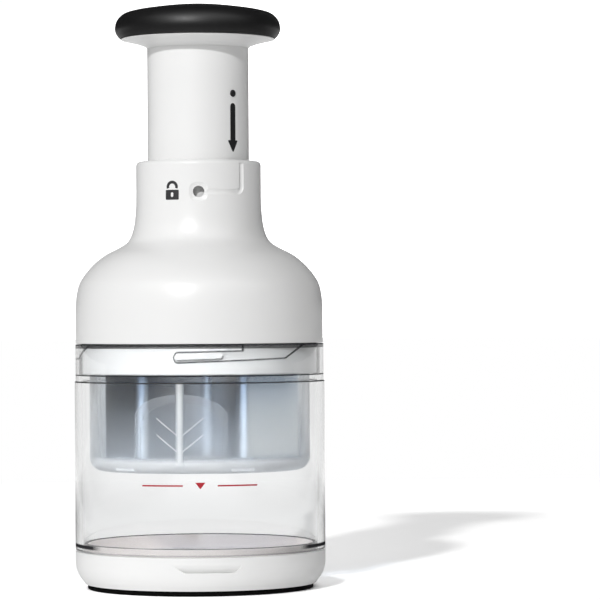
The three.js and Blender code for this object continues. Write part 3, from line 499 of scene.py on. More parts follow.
def grip_material():
    """Matt soft-touch cover of the knob."""
    mat, tree, bsdf = material("soft_grip", (0.01, 0.01, 0.0105), 0.45, Specular_IOR_Level=0.5)
    tinted(tree, bsdf, noise(tree, 300, 4), (0.005, 0.005, 0.0052), (0.009, 0.009, 0.0094))
    roughened(tree, bsdf, noise(tree, 700, 5), 0.4, 0.5)
    bumped(tree, bsdf, noise(tree, 3800, 3, rough=0.6), 0.25)
    return mat


def foot_material():
    """Dull black rubber."""
    mat, tree, bsdf = material("foot_rubber", (0.003, 0.003, 0.003), 0.85, Specular_IOR_Level=0.06)
    tinted(tree, bsdf, noise(tree, 400, 4), (0.002, 0.002, 0.002), (0.004, 0.004, 0.004))
    bumped(tree, bsdf, noise(tree, 2400, 3), 0.3)
    return mat


# Painted dark lines round the clear wall, for where it turns the light away: from, to, and how dark
CLEAR_SHADE_LINES = (
    (14.9, 15.4, 0.25),      # its foot
    (79.1, 79.45, 0.85),     # the step under the neck
    (81.7, 82.05, 0.7),      # under the bayonet ring
    (92.1, 93.15, 0.38),     # under the rim
    (93.3, 93.6, 0.7),       # the rim
)


def clear_material():
    """Clear hard plastic. Its edges and steps get painted dark lines and painted shade, for where
    clear plastic turns the light away.
    """
    mat, tree, bsdf = material("clear_wall", (0.985, 0.99, 0.99), 0.015,
                               IOR=1.49, Transmission_Weight=1)
    tinted(tree, bsdf, noise(tree, 60, 3), (0.972, 0.977, 0.977), (0.986, 0.989, 0.989))
    bumped(tree, bsdf, noise(tree, 500, 2), 0.004)
    out, height = position(tree, "R"), position(tree, "Z")

    # Painted dark lines on the edges of the channels in the neck
    edge_probe = node(tree, "ShaderNodeBevel", samples=6, Radius=0.0008)
    own = node(tree, "ShaderNodeNewGeometry")
    same = node(tree, "ShaderNodeVectorMath", operation="DOT_PRODUCT")
    tree.links.new(edge_probe.outputs["Normal"], same.inputs[0])
    tree.links.new(own.outputs["Normal"], same.inputs[1])
    lines = times(tree, mapped(tree, same.outputs["Value"], 0.995, 0.95, 0, 1),
                  ramp(tree, height, 80, 80.5, 0, 1))
    for low, high, depth in CLEAR_SHADE_LINES:
        lines = most(tree, lines, times(tree, ramp(tree, height, low - 0.1, low, 0, depth),
                                        ramp(tree, height, high, high + 0.1, 1, 0)))
    # Painted shade on the sides of the neck, on its inside, where they are seen edge on
    neck = times(tree, ramp(tree, out, 45.4, 45.5, 1, 0), ramp(tree, height, 82, 82.3, 0, 1),
                 facing(tree, 0.25, 0.258, 0, 0.6), facing(tree, 0.266, 0.274, 1, 0))
    # Painted shade on the sides of the wall just above the base
    low_rim = times(tree, ramp(tree, height, 16.2, 16.6, 0, 1),
                    ramp(tree, height, 17.6, 18.0, 1, 0),
                    facing(tree, 0.4, 0.5, 0, 1), ramp(tree, out, 46.5, 46.6, 0, 1))
    lines = most(tree, lines, neck, low_rim)
    dark = node(tree, "ShaderNodeBsdfDiffuse", Color=(0.03, 0.03, 0.033, 1))
    look = blended(tree, lines, bsdf.outputs["BSDF"], dark.outputs["BSDF"])
    return lets_light_in(mat, tree, look, (0.93, 0.94, 0.945))


def guard_material():
    """Milky clear drum: hazier towards its foot, on the grip and most of all on its ribs."""
    mat, tree, bsdf = material("milky_guard", (0.9, 0.93, 0.95), 0.06,
                               IOR=1.45, Transmission_Weight=1)
    tinted(tree, bsdf, noise(tree, 50, 3), (0.86, 0.89, 0.92), (0.9, 0.93, 0.95))
    out, height = position(tree, "R"), position(tree, "Z")
    tree.links.new(ramp(tree, out, 42.3, 42.5, 0.05, 0.2), bsdf.inputs["Roughness"])
    bumped(tree, bsdf, noise(tree, 260, 2), 0.02)

    def frost(colour):
        veil = node(tree, "ShaderNodeBsdfDiffuse", Color=(*colour, 1))
        through = node(tree, "ShaderNodeBsdfTranslucent", Color=(*colour, 1))
        both = node(tree, "ShaderNodeMixShader", Fac=0.5)
        tree.links.new(veil.outputs["BSDF"], both.inputs[1])
        tree.links.new(through.outputs["BSDF"], both.inputs[2])
        return both.outputs["Shader"]

    haze = most(tree, ramp(tree, height, 50, 72, 0.19, 0.015),
                ramp(tree, out, 42.3, 42.45, 0, 0.16), ramp(tree, out, 42.65, 42.75, 0, 0.26))
    look = blended(tree, haze, bsdf.outputs["BSDF"], frost((0.74, 0.78, 0.83)))
    look = blended(tree, facing(tree, 0.5, 0.9, 0, 0.75), look, frost((0.88, 0.9, 0.92)))
    ribs = most(tree, ramp(tree, out, 42.98, 43.1, 0, 0.6), ramp(tree, out, 43.2, 43.25, 0, 0.85),
                ramp(tree, height, 49.4, 51.2, 0.86, 0))
    look = blended(tree, ribs, look, frost((0.93, 0.94, 0.95)))
    return lets_light_in(mat, tree, look, (0.78, 0.8, 0.83))


def steel_material():
    """Cool rolled steel with an upright grain, and painted shade that makes it darker and bluer
    towards its back, under the housing.
    """
    mat, tree, bsdf = material("blade_steel", (0.42, 0.47, 0.55), 0.32, 1.0)
    grain = noise(tree, 900, 4, stretch=(1, 1, 0.02))
    rolled = tinted(tree, bsdf, grain, (0.56, 0.58, 0.605), (0.68, 0.7, 0.72))
    # Painted shade: darker and bluer towards the top of the blade
    top_shade = node(tree, "ShaderNodeMix", data_type="RGBA", blend_type="MULTIPLY")
    top_shade.inputs["B"].default_value = (0.28, 0.34, 0.43, 1)
    tree.links.new(ramp(tree, position(tree, "Z"), 54, 80, 0, 1), top_shade.inputs["Factor"])
    tree.links.new(rolled, top_shade.inputs["A"])
    tree.links.new(top_shade.outputs["Result"], bsdf.inputs["Base Color"])
    roughened(tree, bsdf, grain, 0.26, 0.42)
    bumped(tree, bsdf, grain, 0.05)
    return mat


def wire_material():
    """Plain steel of the springs, the clip and the screws."""
    mat, tree, bsdf = material("wire_steel", (0.55, 0.55, 0.56), 0.3, 1.0)
    roughened(tree, bsdf, noise(tree, 1200, 3), 0.24, 0.4)
    return mat


grip = grip_material()
foot = foot_material()
clear = clear_material()
milky = guard_material()
steel = steel_material()
wire = wire_material()

# Base
WALL = 48.0                                    # radius of the body in the solids
BODY = 47.96                                   # and as it is shown
NOTCH_LOW, NOTCH_RISE, NOTCH_TOP = 9.0, 3.6, 12.75
NOTCH_DEPTH, NOTCH_POWER = 2.3, 2.2
NOTCH_LEFT, NOTCH_RIGHT = -12.35, 15.55        # its ends, along the wall from the front
LEVEL_LEFT, LEVEL_RIGHT = -5.8, 11.8           # its lower edge is level between these
SLOPE_LEFT, SLOPE_RIGHT = 6.6, 3.8             # lengths over which it rises beside them

base_outline = soft([
    (0, 6.2), (37.7, 6.2, 0.6), (37.7, 1.4, 0.3), (39.0, 1.4, 0.3), (39.0, 3.9), (43.6, 3.9),
    (43.6, 2.0, 0.15),
])
base_outline += flowing([
    (44.3, 2.0), (45.0, 2.95), (46.1, 4.4), (47.09, 6.2), (47.77, 8.4), (BODY, 10.1)])
base_outline += stepped((BODY, 10.1), (BODY, 14.2), 0.5)
base_outline += soft([
    (BODY, 14.0), (BODY, 14.7, 0.45), (45.3, 14.7, 0.3), (45.3, 8.7, 0.4), (0, 8.7)])[1:]


def notch_floor(u):
    """Lower edge of the thumb notch at a distance along the wall from the front."""
    if u < LEVEL_LEFT:
        return NOTCH_LOW + NOTCH_RISE * (LEVEL_LEFT - u) / SLOPE_LEFT
    k = min(1.0, max(0.0, (u - LEVEL_RIGHT) / SLOPE_RIGHT))
    return NOTCH_LOW + NOTCH_RISE * (1 - math.sqrt(1 - k * k))


def notch_wall(z):
    """Radius of the notch's hollow at a height."""
    return WALL - NOTCH_DEPTH * ((NOTCH_TOP - z) / (NOTCH_TOP - NOTCH_LOW)) ** NOTCH_POWER


stations = []
for u in spread(NOTCH_LEFT, NOTCH_RIGHT, 60):
    low = min(notch_floor(u), NOTCH_TOP - 0.2)
    section = [(WALL + PROUD, low), (WALL + PROUD, NOTCH_TOP + 0.15), (WALL, NOTCH_TOP + 0.1)]
    section += [(notch_wall(z), z) for z in spread(NOTCH_TOP, low, 7)]
    stations.append([at(r, u / WALL, z) for r, z in section])
base_me = combine(lathe("base_cap_fine", base_outline, closed=False), loft("notch", stations))
piece("base_cap_fine", base_me, white, "base", ["base_cap"], 18)

foot_outline = soft([(39.3, 0, 0.4), (43.3, 0, 0.45), (43.3, 3.6), (39.3, 3.6)], True)
piece("foot_ring_fine", lathe("foot_ring_fine", foot_outline), foot, "base",
      ["foot_ring"])

pad_outline = soft([
    (0, 9.0), (45.0, 9.0, 0.8), (45.0, 17.8, 0.6), (43.0, 17.8, 0.6), (43.0, 11.7, 1.6), (0, 11.7),
])
piece("cutting_pad_fine", lathe("cutting_pad_fine", pad_outline, closed=False), pad_grey, "base",
      ["cutting_pad"])

# Chamber. Azimuths of its channels are in degrees, from the front and from each third of a turn
# after it.
TOP = 93.1                                     # the height that its channels are measured from
TWIST = 32                                     # how far the housing turns to open
CLOSED_END, MOUTH, MOUTH_RAMP = -12, 21, 43.8
CHANNEL_IN, CHANNEL_OUT = 44.0, 46.6
RAMP_SHARES = ((47, 0.25), (50.5, 0.51), (54, 0.75), (57, 0.94), (58, 1.0))
RAMP_TOP = 93.6


def channel_floor(a):
    return TOP - 6.3 + 1.5 * (a - CLOSED_END) / (MOUTH_RAMP - CLOSED_END)


def channel_roof(a):
    return TOP - 2.4 + 0.5 * (a - CLOSED_END) / TWIST


def station(a, third, low, high):
    return ((a + third) * DEG, CHANNEL_IN, CHANNEL_OUT, low, high)


chamber_outline = soft([
    (45.3, 15.0, 0.2), (BODY, 15.0, 0.5), (BODY, 79.3, 0.25), (47.6, 79.3, 0.25),
    (47.6, 93.55, 0.3), (45.3, 93.55, 0.3),
], True)
ramp_foot = channel_floor(MOUTH_RAMP)
cuts = []
for third in THIRDS:
    closed_part = []
    for a in spread(CLOSED_END, MOUTH, 44):
        low, high = rounded_end(channel_floor(a), channel_roof(a), a - CLOSED_END, 1.9, 0.12)
        closed_part.append(station(a, third, low, high))
    mouth = [station(a, third, channel_floor(a), TOP + 1)
             for a in [MOUTH - 0.75] + spread(MOUTH, MOUTH_RAMP, 24)]
    mouth += [station(a, third, ramp_foot + (RAMP_TOP - ramp_foot) * share, TOP + 1)
              for a, share in RAMP_SHARES]
    cuts += [bar("channel", closed_part), bar("mouth", mouth)]
chamber_me = combine(lathe("chopping_chamber_fine", chamber_outline), *cuts)
piece("chopping_chamber_fine", chamber_me, clear, "chamber",
      ["chopping_chamber"], 30)

# Housing
COLLAR, COLLAR_LOW, COLLAR_HIGH = 24.0, 150.0, 161.8
COLLAR_ROUND = 1.7
SHELL = 2.2                                    # thickness of the shoulder's wall
BORE = 19.9                                    # radius of the collar's bore
SIGHT_Z, SIGHT_RADIUS = 151.2, 2.15            # the hole that the stud shows in
LOCK_AZ = 42.5 * DEG                           # from the sight hole to the stud
HALF_TRACK = 1.975
TRACK_IN, TRACK_OUT, TRACK_TOP = 19.0, 21.0, 165.0
GROOVE_RADIUS, GROOVE_BEND = 1.5, 2.0
GROOVE_AXIS, FAINT_AXIS = COLLAR + 0.85, COLLAR + 1.1   # the groove is shallower beside the hole

shoulder = [
    (47.45, 101.0), (47.35, 109.4), (46.6, 114.5), (45.4, 117.8), (40.75, 123.8), (35.9, 127.7),
    (30.7, 130.4), (27.65, 132.4), (26.15, 134.6), (24.85, 138.8), (24.1, 146.2),
    (COLLAR, COLLAR_LOW),
]
outer = soft([(45.1, 93.85), (47.45, 93.85, 0.3), (47.45, 101.0)])[1:-1]
outer += stepped((47.45, 94.4), (47.45, 101.0), 1.2) + flowing(shoulder)
outer += stepped((COLLAR, COLLAR_LOW), (COLLAR, COLLAR_HIGH), 0.6)[1:]
outer += [(COLLAR - COLLAR_ROUND * (1 - math.cos(a)), COLLAR_HIGH + COLLAR_ROUND * math.sin(a))
          for a in spread(0, QUARTER, 8)]
inner = inset(flowing(shoulder[:-2], 2), SHELL)
inner = [(max(r, 21.8), z) for r, z in inner if z < 137.5]
housing_outline = outer + [
    (20.4, 163.5), (20.1, 163.4), (BORE, 163.0), (BORE, 139.3), (21.8, 139.3)]
housing_outline += inner[::-1] + [(45.1, 100.5), (45.1, 94.0)]

groove_path = [at(GROOVE_AXIS, LOCK_AZ, z) for z in spread(162.2, SIGHT_Z + GROOVE_BEND, 16)]
for a in spread(0, QUARTER, 10)[1:]:
    groove_path.append(at(GROOVE_AXIS,
                          LOCK_AZ - (GROOVE_BEND - GROOVE_BEND * math.cos(a)) / COLLAR,
                          SIGHT_Z + GROOVE_BEND - GROOVE_BEND * math.sin(a)))
bend_end = LOCK_AZ - GROOVE_BEND / COLLAR
for a in spread(bend_end, 0.05, 30)[1:]:
    fade = min(1.0, (bend_end - a) / 0.12)
    groove_path.append(at(GROOVE_AXIS + (FAINT_AXIS - GROOVE_AXIS) * fade, a, SIGHT_Z))
groove = tube_along("groove", groove_path, GROOVE_RADIUS * MM)

recess = dish("recess", 0, SIGHT_Z, COLLAR + 0.03, 3.6, 0.85)
hole = loft("hole", [
    [(SIGHT_RADIUS * math.cos(a) * MM, y * MM, (SIGHT_Z + SIGHT_RADIUS * math.sin(a)) * MM)
     for a in [TURN * k / 40 for k in range(40)]]
    for y in (-19.0, -26.0)])
half_az = HALF_TRACK / BORE
track_down = bar("track_down", [
    (a, TRACK_IN, TRACK_OUT, SIGHT_Z - HALF_TRACK, TRACK_TOP)
    for a in spread(LOCK_AZ - half_az, LOCK_AZ + half_az, 6)])
track_side = bar("track_side", [
    (a, TRACK_IN, TRACK_OUT, SIGHT_Z - HALF_TRACK, SIGHT_Z + HALF_TRACK)
    for a in spread(-half_az, LOCK_AZ + half_az, 24)])
housing_me = combine(lathe("upper_housing_fine", housing_outline), groove, recess, hole,
                     track_side, track_down)
piece("upper_housing_fine", housing_me, shell_white_shaded, "housing",
      ["upper_housing"], 24)

# Bayonet ring
LUG_GAP = 0.3                                  # above and below a lug in its channel
LUG_FROM, LUG_TO = -11.4, 10.6                 # degrees
LUG_OUT = 46.3

ring_outline = soft([
    (42.8, 82.2, 0.5), (45.0, 82.2, 0.5), (45.0, 96.0), (37.2, 96.0), (37.2, 87.2, 0.3),
    (40.2, 87.2, 0.3), (40.2, 88.4, 0.3), (38.6, 88.4), (38.6, 94.0), (42.8, 94.0),
], True)
lugs = []
for third in THIRDS:
    rows = []
    for a in spread(LUG_FROM, LUG_TO, 36):
        low, high = rounded_end(channel_floor(a + TWIST) + LUG_GAP, channel_roof(a) - LUG_GAP,
                                min(a - LUG_FROM, LUG_TO - a), 1.2, 0.15)
        rows.append(((a + third) * DEG, CHANNEL_IN, LUG_OUT, low, high))
    lugs.append(bar("lug", rows))
ring_me = combine(lathe("bayonet_ring_fine", ring_outline), *lugs, how="UNION")
piece("bayonet_ring_fine", ring_me, ring_white_shaded, "housing", ["bayonet_ring"], 30)

# Plunger and knob
PLUNGER = 19.5                                 # its radius
STUD_RADIUS, STUD_DOME, STUD_Z = 1.36, 0.4, 188.8

tube_outline = soft([
    (17.3, 136.9), (21.4, 136.9, 0.4), (21.4, 139.0, 0.3), (PLUNGER, 139.0),
    (PLUNGER, 206.86, 0.06),
    (8.5, 206.86), (8.5, 203.6), (17.3, 203.6),
], True)
piece("plunger_tube_fine", lathe("plunger_tube_fine", tube_outline), white, "knob",
      ["plunger_tube"])

core_outline = [
    (0, 220.4), (12, 219.8), (24, 217.6), (26.6, 214.5), (26.6, 211.2), (23.6, 210.5),
    (19.5, 208.9), (8.5, 208.9), (8.5, 206.9),
]
core_outline += soft([
    (8.5, 206.9), (19.4, 206.9, 0.1), (20.3, 207.8, 1.5), (23.9, 209.05, 2), (28.5, 210.12, 0.3),
    (29.5, 210.32, 0.1), (29.55, 210.55, 0.1), (27.9, 210.55)])[1:]
core_outline += [
    (28.2, 211.3), (29.5, 213.0), (29.5, 215.6), (27.4, 218.4), (19.5, 220.5), (6, 222.1),
    (0, 222.2),
]
piece("knob_core_fine", lathe("knob_core_fine", core_outline, closed=False), white, "knob",
      ["knob_core"], 40)

cap_outline = [
    (0, 222.5), (12, 221.7), (24.5, 219.6), (28.2, 217.6), (30.0, 214.6), (29.2, 212.3),
    (28.6, 211.4), (28.9, 210.78),
]
cap_outline += flowing([
    (29.8, 210.72), (30.6, 211.5), (31.5, 212.95), (31.8, 214.55), (31.4, 216.9), (30.4, 218.6),
    (28.5, 220.2), (25.2, 221.25), (19.8, 222.2), (11.7, 223.3), (5.1, 223.9), (0.6, 224.08),
], 7)
cap_outline += [(0, 224.09)]
piece("knob_cap_fine", lathe("knob_cap_fine", cap_outline, closed=False), grip, "knob",
      ["knob_cap"], 40)

stud_outline = [(0, 17.6), (1.0, 17.6), (1.0, 19.3), (STUD_RADIUS, 19.35)]
stud_outline += [(STUD_RADIUS * math.cos(a), 19.62 + STUD_DOME * math.sin(a))
                 for a in spread(0, QUARTER, 8)]
stud_me = lathe("lock_stud_fine", stud_outline, 48, closed=False)
stud_me.transform(Matrix.Rotation(LOCK_AZ, 4, "Z") @ Matrix.Translation((0, 0, STUD_Z * MM))
                  @ Matrix.Rotation(QUARTER, 4, "X"))
piece("lock_stud_fine", stud_me, mark_black, "knob", ["lock_stud"])

# Blade, made in its own plan and then turned
BLADE_AZ = -8.3 * DEG
BLADE_EDGE, BEVEL_TOP, BLADE_TOP = 49.7, 51.7, 86.6
HALF_BLADE, HALF_EDGE, FOLD = 0.25, 0.05, 3
corners = [Vector(p) for p in ((-37.5, 2), (-18.3, -25), (0, 27), (18.3, -25), (37.5, 2))]


def blade_line(runs=8, folds=14):
    """The blade's middle line in plan, in so many steps on each run and in each fold."""
    out = [corners[0].copy()]
    for i in (1, 2, 3):
        back = (corners[i - 1] - corners[i]).normalized()
        on = (corners[i + 1] - corners[i]).normalized()
        arc = fillet(corners[i], back, on, back.angle(on) / 2, FOLD, folds)
        before = out[-1]
        if (arc[0] - before).length > (arc[-1] - before).length:
            arc.reverse()
        out += [before.lerp(arc[0], k / runs) for k in range(1, runs)]
        out += arc
    last = out[-1]
    out += [last.lerp(corners[4], k / runs) for k in range(1, runs + 1)]
    return out


line = blade_line()


def strip(half, reach, z):
    """The line as a closed band at a height, so much to each side and so much past its ends."""
    left, right = [], []
    for i, p in enumerate(line):
        d = (line[min(i + 1, len(line) - 1)] - line[max(i - 1, 0)]).normalized()
        n = Vector((-d.y, d.x)) * half
        q = p.copy()
        if i == 0:
            q -= d * reach
        if i == len(line) - 1:
            q += d * reach
        left.append(q + n)
        right.append(q - n)
    return [(q.x * MM, q.y * MM, z * MM) for q in left + right[::-1]]


blade_me = loft("zigzag_blade_fine", [
    strip(HALF_EDGE, 0, BLADE_EDGE), strip(HALF_BLADE, 0, BEVEL_TOP),
    strip(HALF_BLADE, 0, BLADE_TOP)])
piece("zigzag_blade_fine", blade_me, steel, "rotor", ["zigzag_blade"], 30, BLADE_AZ)

# Guard, made in the blade's plan and turned with it
GRIP_AZ = -10 * DEG - BLADE_AZ
DRUM, DRUM_INSIDE = 42.2, 40.8
CORNER_Z, CORNER_ROUND, INNER_ROUND = 50.3, 5, 3.6
ARCH_FOOT, ARCH_RISE = 66.3, 8.7               # where the grip's outline starts to close
GRIP_WIDE, HOLLOW_WIDE = 23.7 * DEG, 20.4 * DEG
HALF_RIB, RIB_RISE = 1.6, 0.8
BLOCK_AZ, HALF_BLOCK, BLOCK_IN = 32.5 * DEG, 4, 36.6
CHEVRON_WIDE, CHEVRON_RISE, CHEVRON_STEP = 11.5 * DEG, 7.1, 6.1
SLOT_HALF, SLOT_REACH = 0.85, 0.6


def drum_corner(radius):
    return [(DRUM - CORNER_ROUND + radius * math.sin(a), CORNER_Z - radius * math.cos(a))
            for a in spread(0, QUARTER, 8)]


def arch(s):
    return ARCH_FOOT + ARCH_RISE * math.sqrt(max(0.0, 1 - s * s))


guard_outline = [(0, 45.3)] + drum_corner(CORNER_ROUND) + soft([
    (DRUM, 52), (DRUM, 90.2, 0.4), (39.0, 90.2, 0.3), (39.0, 88.7, 0.3),
    (DRUM_INSIDE, 88.7, 0.5), (DRUM_INSIDE, 52)])
guard_outline += drum_corner(INNER_ROUND)[::-1] + [(0, 46.7)]

grip_pad = bar("pad", [(GRIP_AZ + s * GRIP_WIDE, 41.8, 42.9, CORNER_Z, arch(s))
                       for s in closing(48)])
hollow = bar("hollow", [(GRIP_AZ + s * HOLLOW_WIDE, 42.55, 43.4, CORNER_Z - 0.5, arch(s) - 3.2)
                        for s in closing(48)])
rib = bar("rib", [(GRIP_AZ + s * HALF_RIB / DRUM, DRUM_INSIDE,
                   42.5 + RIB_RISE * math.sqrt(1 - s * s), 48.6, 79.5) for s in closing(14)])
extra = [combine(grip_pad, hollow), rib]
for side in (-1, 1):
    middle = GRIP_AZ + side * BLOCK_AZ
    reach = HALF_BLOCK / BLOCK_IN
    extra.append(bar("block", [(a, BLOCK_IN, 41.2, 46.4, 51.3)
                               for a in spread(middle - reach, middle + reach, 6)]))
for i in range(2):
    low = CORNER_Z + 2.4 + i * CHEVRON_STEP
    extra.append(bar("chevron", [
        (GRIP_AZ + s * CHEVRON_WIDE, 42.4, 43.15, low + abs(s) * CHEVRON_RISE,
         low + abs(s) * CHEVRON_RISE + 0.5) for s in spread(-1, 1, 24)]))
guard_me = combine(lathe("blade_guard_fine", guard_outline, closed=False), *extra, how="UNION")
slot = loft("slot", [strip(SLOT_HALF, SLOT_REACH, 44.0), strip(SLOT_HALF, SLOT_REACH, 51.3)])
guard_me = combine(guard_me, slot)
piece("blade_guard_fine", guard_me, milky, "guard", ["blade_guard"], 30, BLADE_AZ)

# Return spring. The real one flattens with the plunger's stroke; this mesh keeps its rest shape.
WIRE, SPRING_RADIUS, END_GAP = 1.6, 13.2, 0.5
SPRING_LOW, SPRING_HIGH, SPRING_TURNS, STROKE = 100.6, 198.0, 10, 37.6


def spring_height(turn):
    """Height of the wire's middle: one close turn at each end, and even turns between."""
    start, rise = SPRING_LOW + WIRE / 2, SPRING_HIGH - SPRING_LOW - WIRE
    end_rise = WIRE + END_GAP
    if turn < 1:
        return start + end_rise * turn
    if turn > SPRING_TURNS - 1:
        return start + rise - end_rise * (SPRING_TURNS - turn)
    return start + end_rise + (rise - 2 * end_rise) * (turn - 1) / (SPRING_TURNS - 2)


coil = [at(SPRING_RADIUS, turn * TURN, spring_height(turn))
        for turn in spread(0, SPRING_TURNS, 24 * SPRING_TURNS)]
spring = piece("return_spring_fine", tube_along("return_spring_fine", coil, WIRE / 2 * MM, 10),
               wire, "housing", ["return_spring"], 60)
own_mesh(spring)

# Pieces shown as the CAD has them
screws = [f"{kind}_screw_{i}" for kind in ("bridge", "core") for i in (1, 2, 3)]
for look, names in (
        (inner_white, ["drive_bridge", "nut_retainer", "blade_carrier"]),
        (drive_grey, ["index_nut", "spring_cap", "drive_shaft"]),
        (wire, ["nut_spring", "shaft_clip", "carrier_screw"] + screws)):
    for name in names:
        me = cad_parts[name].data
        me.materials.clear()
        me.materials.append(look)

# Marks
MARK_STEP = 0.5           # the width of the strips that a flat mark is bent in
MARK_RISE = 0.03          # how far it stands off its wall
SHOULDER_TAPER = 0.03     # how much wider the shoulder gets below the collar, per mm
PADLOCK_AZ = -24.6 * DEG
FILL_Z = 41.4


def print_on(name, shapes, radius, az, z, look, body):
    """Flat shapes wrapped on a round wall, each a list of (x, z) corners from a point at az and z.
    The radius is a function of the height."""
    bm = bmesh.new()
    for shape in shapes:
        bm.faces.new([bm.verts.new((x, 0, up)) for x, up in shape])
    xs = [v.co.x for v in bm.verts]
    cut = math.ceil(min(xs) / MARK_STEP) * MARK_STEP
    while cut < max(xs):
        geom = bm.verts[:] + bm.edges[:] + bm.faces[:]
        bmesh.ops.bisect_plane(bm, geom=geom, plane_co=(cut, 0, 0), plane_no=(1, 0, 0))
        cut += MARK_STEP
    for v in bm.verts:
        r = radius(z + v.co.z)
        v.co = at(r, az + v.co.x / r, z + v.co.z)
    for f in bm.faces:
        f.normal_update()
        middle = f.calc_center_median()
        if f.normal.x * middle.x + f.normal.y * middle.y < 0:
            f.normal_flip()
    me = bpy.data.meshes.new(name)
    bm.to_mesh(me)
    bm.free()
    return piece(name, me, look, body)


def rounded_box(x0, z0, x1, z1, r, n=5):
    out = []
    for cx, cz, start in ((x1 - r, z1 - r, 0), (x0 + r, z1 - r, 90), (x0 + r, z0 + r, 180),
                          (x1 - r, z0 + r, 270)):
        angles = [(start + 90 * k / n) * DEG for k in range(n + 1)]
        out += [(cx + r * math.cos(a), cz + r * math.sin(a)) for a in angles]
    return out


def plunger_wall(z):
    return PLUNGER + MARK_RISE


def collar_wall(z):
    return COLLAR + MARK_RISE + max(0, COLLAR_LOW - z) * SHOULDER_TAPER


def over_padlock(z):
    return collar_wall(z) + 0.04


def clear_wall(z):
    return BODY + 0.025


shaft = [(1.3 * math.cos(a), 183.8 + 1.3 * math.sin(a)) for a in spread(0, math.pi, 10)]
shaft += [(-1.3, 170.9), (1.3, 170.9)]
head = [(-2.45, 170.7), (-0.35, 166.75), (0, 166.55), (0.35, 166.75), (2.45, 170.7),
        (2.2, 170.95), (-2.2, 170.95)]
print_on("arrow_mark", [shaft, head], plunger_wall, LOCK_AZ, 0, mark_black, "knob")

bow_outside, bow_inside = [
    [(r * math.cos(a), 1.85 + r * math.sin(a)) for a in spread(-0.3, math.pi + 0.3, 20)]
    for r in (2.35, 1.25)]
padlock = [rounded_box(-2.7, -3.0, 2.7, 0.75, 0.35)]
padlock += [[bow_outside[k], bow_outside[k + 1], bow_inside[k + 1], bow_inside[k]]
            for k in range(20)]
print_on("padlock_mark", padlock, collar_wall, PADLOCK_AZ, SIGHT_Z, mark_grey, "housing")
keyhole = rounded_box(-0.5, -1.95, 0.5, -0.25, 0.42)
print_on("padlock_slot", [keyhole], over_padlock, PADLOCK_AZ, SIGHT_Z, white, "housing")

fill_lines = [[(-22.3, -0.28), (-6.5, -0.28), (-6.5, 0.28), (-22.3, 0.28)],
              [(6.5, -0.28), (21.9, -0.28), (21.9, 0.28), (6.5, 0.28)],
              [(-1.9, 1.2), (1.9, 1.2), (0, -1.3)]]
print_on("fill_mark", fill_lines, clear_wall, 0, FILL_Z, mark_red, "chamber")


# Floor and world
SEEN_TONE = 1.32          # the floor's tone for the camera, over 1 so that lit paper is plain white
SIDE_TONE = 0.7           # its share to the sides, as the clear walls show it
MIRROR_DROP = 0.5         # how much darker it is in a mirror
WALLS_PASSED = 4.5        # light that passed more clear surfaces comes from inside the part


def light_path(tree):
    """The light path, and 1 for light that no matt surface has thrown back."""
    path = node(tree, "ShaderNodeLightPath")
    return path, math_of(tree, "LESS_THAN", path.outputs["Diffuse Depth"], 0.5)


def from_inside(tree, path):
    """1 for light mirrored by what stands inside the clear pieces, 0 for what their walls turn."""
    deep = math_of(tree, "GREATER_THAN", path.outputs["Transmission Depth"], WALLS_PASSED)
    return times(tree, math_of(tree, "MINIMUM", path.outputs["Glossy Depth"], 1), deep)


def emptied(block):
    """The tree of a material or world, with nothing in it."""
    block.use_nodes = True
    block.node_tree.nodes.clear()
    return block.node_tree


def floor_material():
    """White paper. It is brighter where the camera sees it than where it lights the part, and it
    glows far behind, where it goes over into the backdrop."""
    mat = bpy.data.materials.new("floor_white")
    tree = emptied(mat)
    path, unbounced = light_path(tree)
    inside = from_inside(tree, path)
    camera_ray = path.outputs["Is Camera Ray"]
    # What the camera sees, straight or through clear plastic
    seen = times(tree, most(tree, camera_ray, path.outputs["Is Transmission Ray"]), unbounced)
    mirror = times(tree, path.outputs["Is Glossy Ray"], unbounced)
    x, y = position(tree, "X"), position(tree, "Y")

    # What the clear pieces and the blade show of it is darker to the sides
    side_tone = plus(tree, times(tree, minus(tree, 1.0, inside), SIDE_TONE),
                     times(tree, inside, ramp(tree, x, 300, 1200, 0.02, 0.8)))
    beside = math_of(tree, "ABSOLUTE", x, 0)
    strip_tone = most(tree, ramp(tree, beside, 350, 500, 1, 0), side_tone, camera_ray)
    # Painted shade: where the shadow falls, the floor is a little darker for the camera, so that
    # the shadow is too
    shadow_tone = most(tree, ramp(tree, x, 60, 110, 0.32, 0.17), ramp(tree, x, 160, 200, 0, 0.42),
                ramp(tree, y, 430, 480, 0, 0.42))
    tone = times(tree, strip_tone, plus(tree, times(tree, camera_ray, shadow_tone), SEEN_TONE))
    bounce = minus(tree, ramp(tree, position(tree, "R"), 150, 350, 1.1, 0.74),
                   times(tree, mirror, MIRROR_DROP))
    tone = plus(tree, times(tree, tone, seen), times(tree, bounce, minus(tree, 1.0, seen)))
    grey = node(tree, "ShaderNodeCombineColor")
    for channel in grey.inputs:
        tree.links.new(tone, channel)

    paper = node(tree, "ShaderNodeBsdfDiffuse")
    tree.links.new(grey.outputs["Color"], paper.inputs["Color"])
    glow = node(tree, "ShaderNodeEmission", Color=(1, 1, 1, 1), Strength=1)
    far = times(tree, ramp(tree, y, 450, 800, 0, 1), most(tree, seen, mirror), strip_tone)
    output = node(tree, "ShaderNodeOutputMaterial")
    tree.links.new(blended(tree, far, paper.outputs["BSDF"], glow.outputs["Emission"]),
                   output.inputs["Surface"])
    return mat


floor_mesh = bpy.data.meshes.new("floor")
floor_mesh.from_pydata([(-6, -3, 0), (6, -3, 0), (6, 12, 0), (-6, 12, 0)], [], [(0, 1, 2, 3)])
floor_mesh.materials.append(floor_material())
floor = bpy.data.objects.new("floor", floor_mesh)
scene.collection.objects.link(floor)


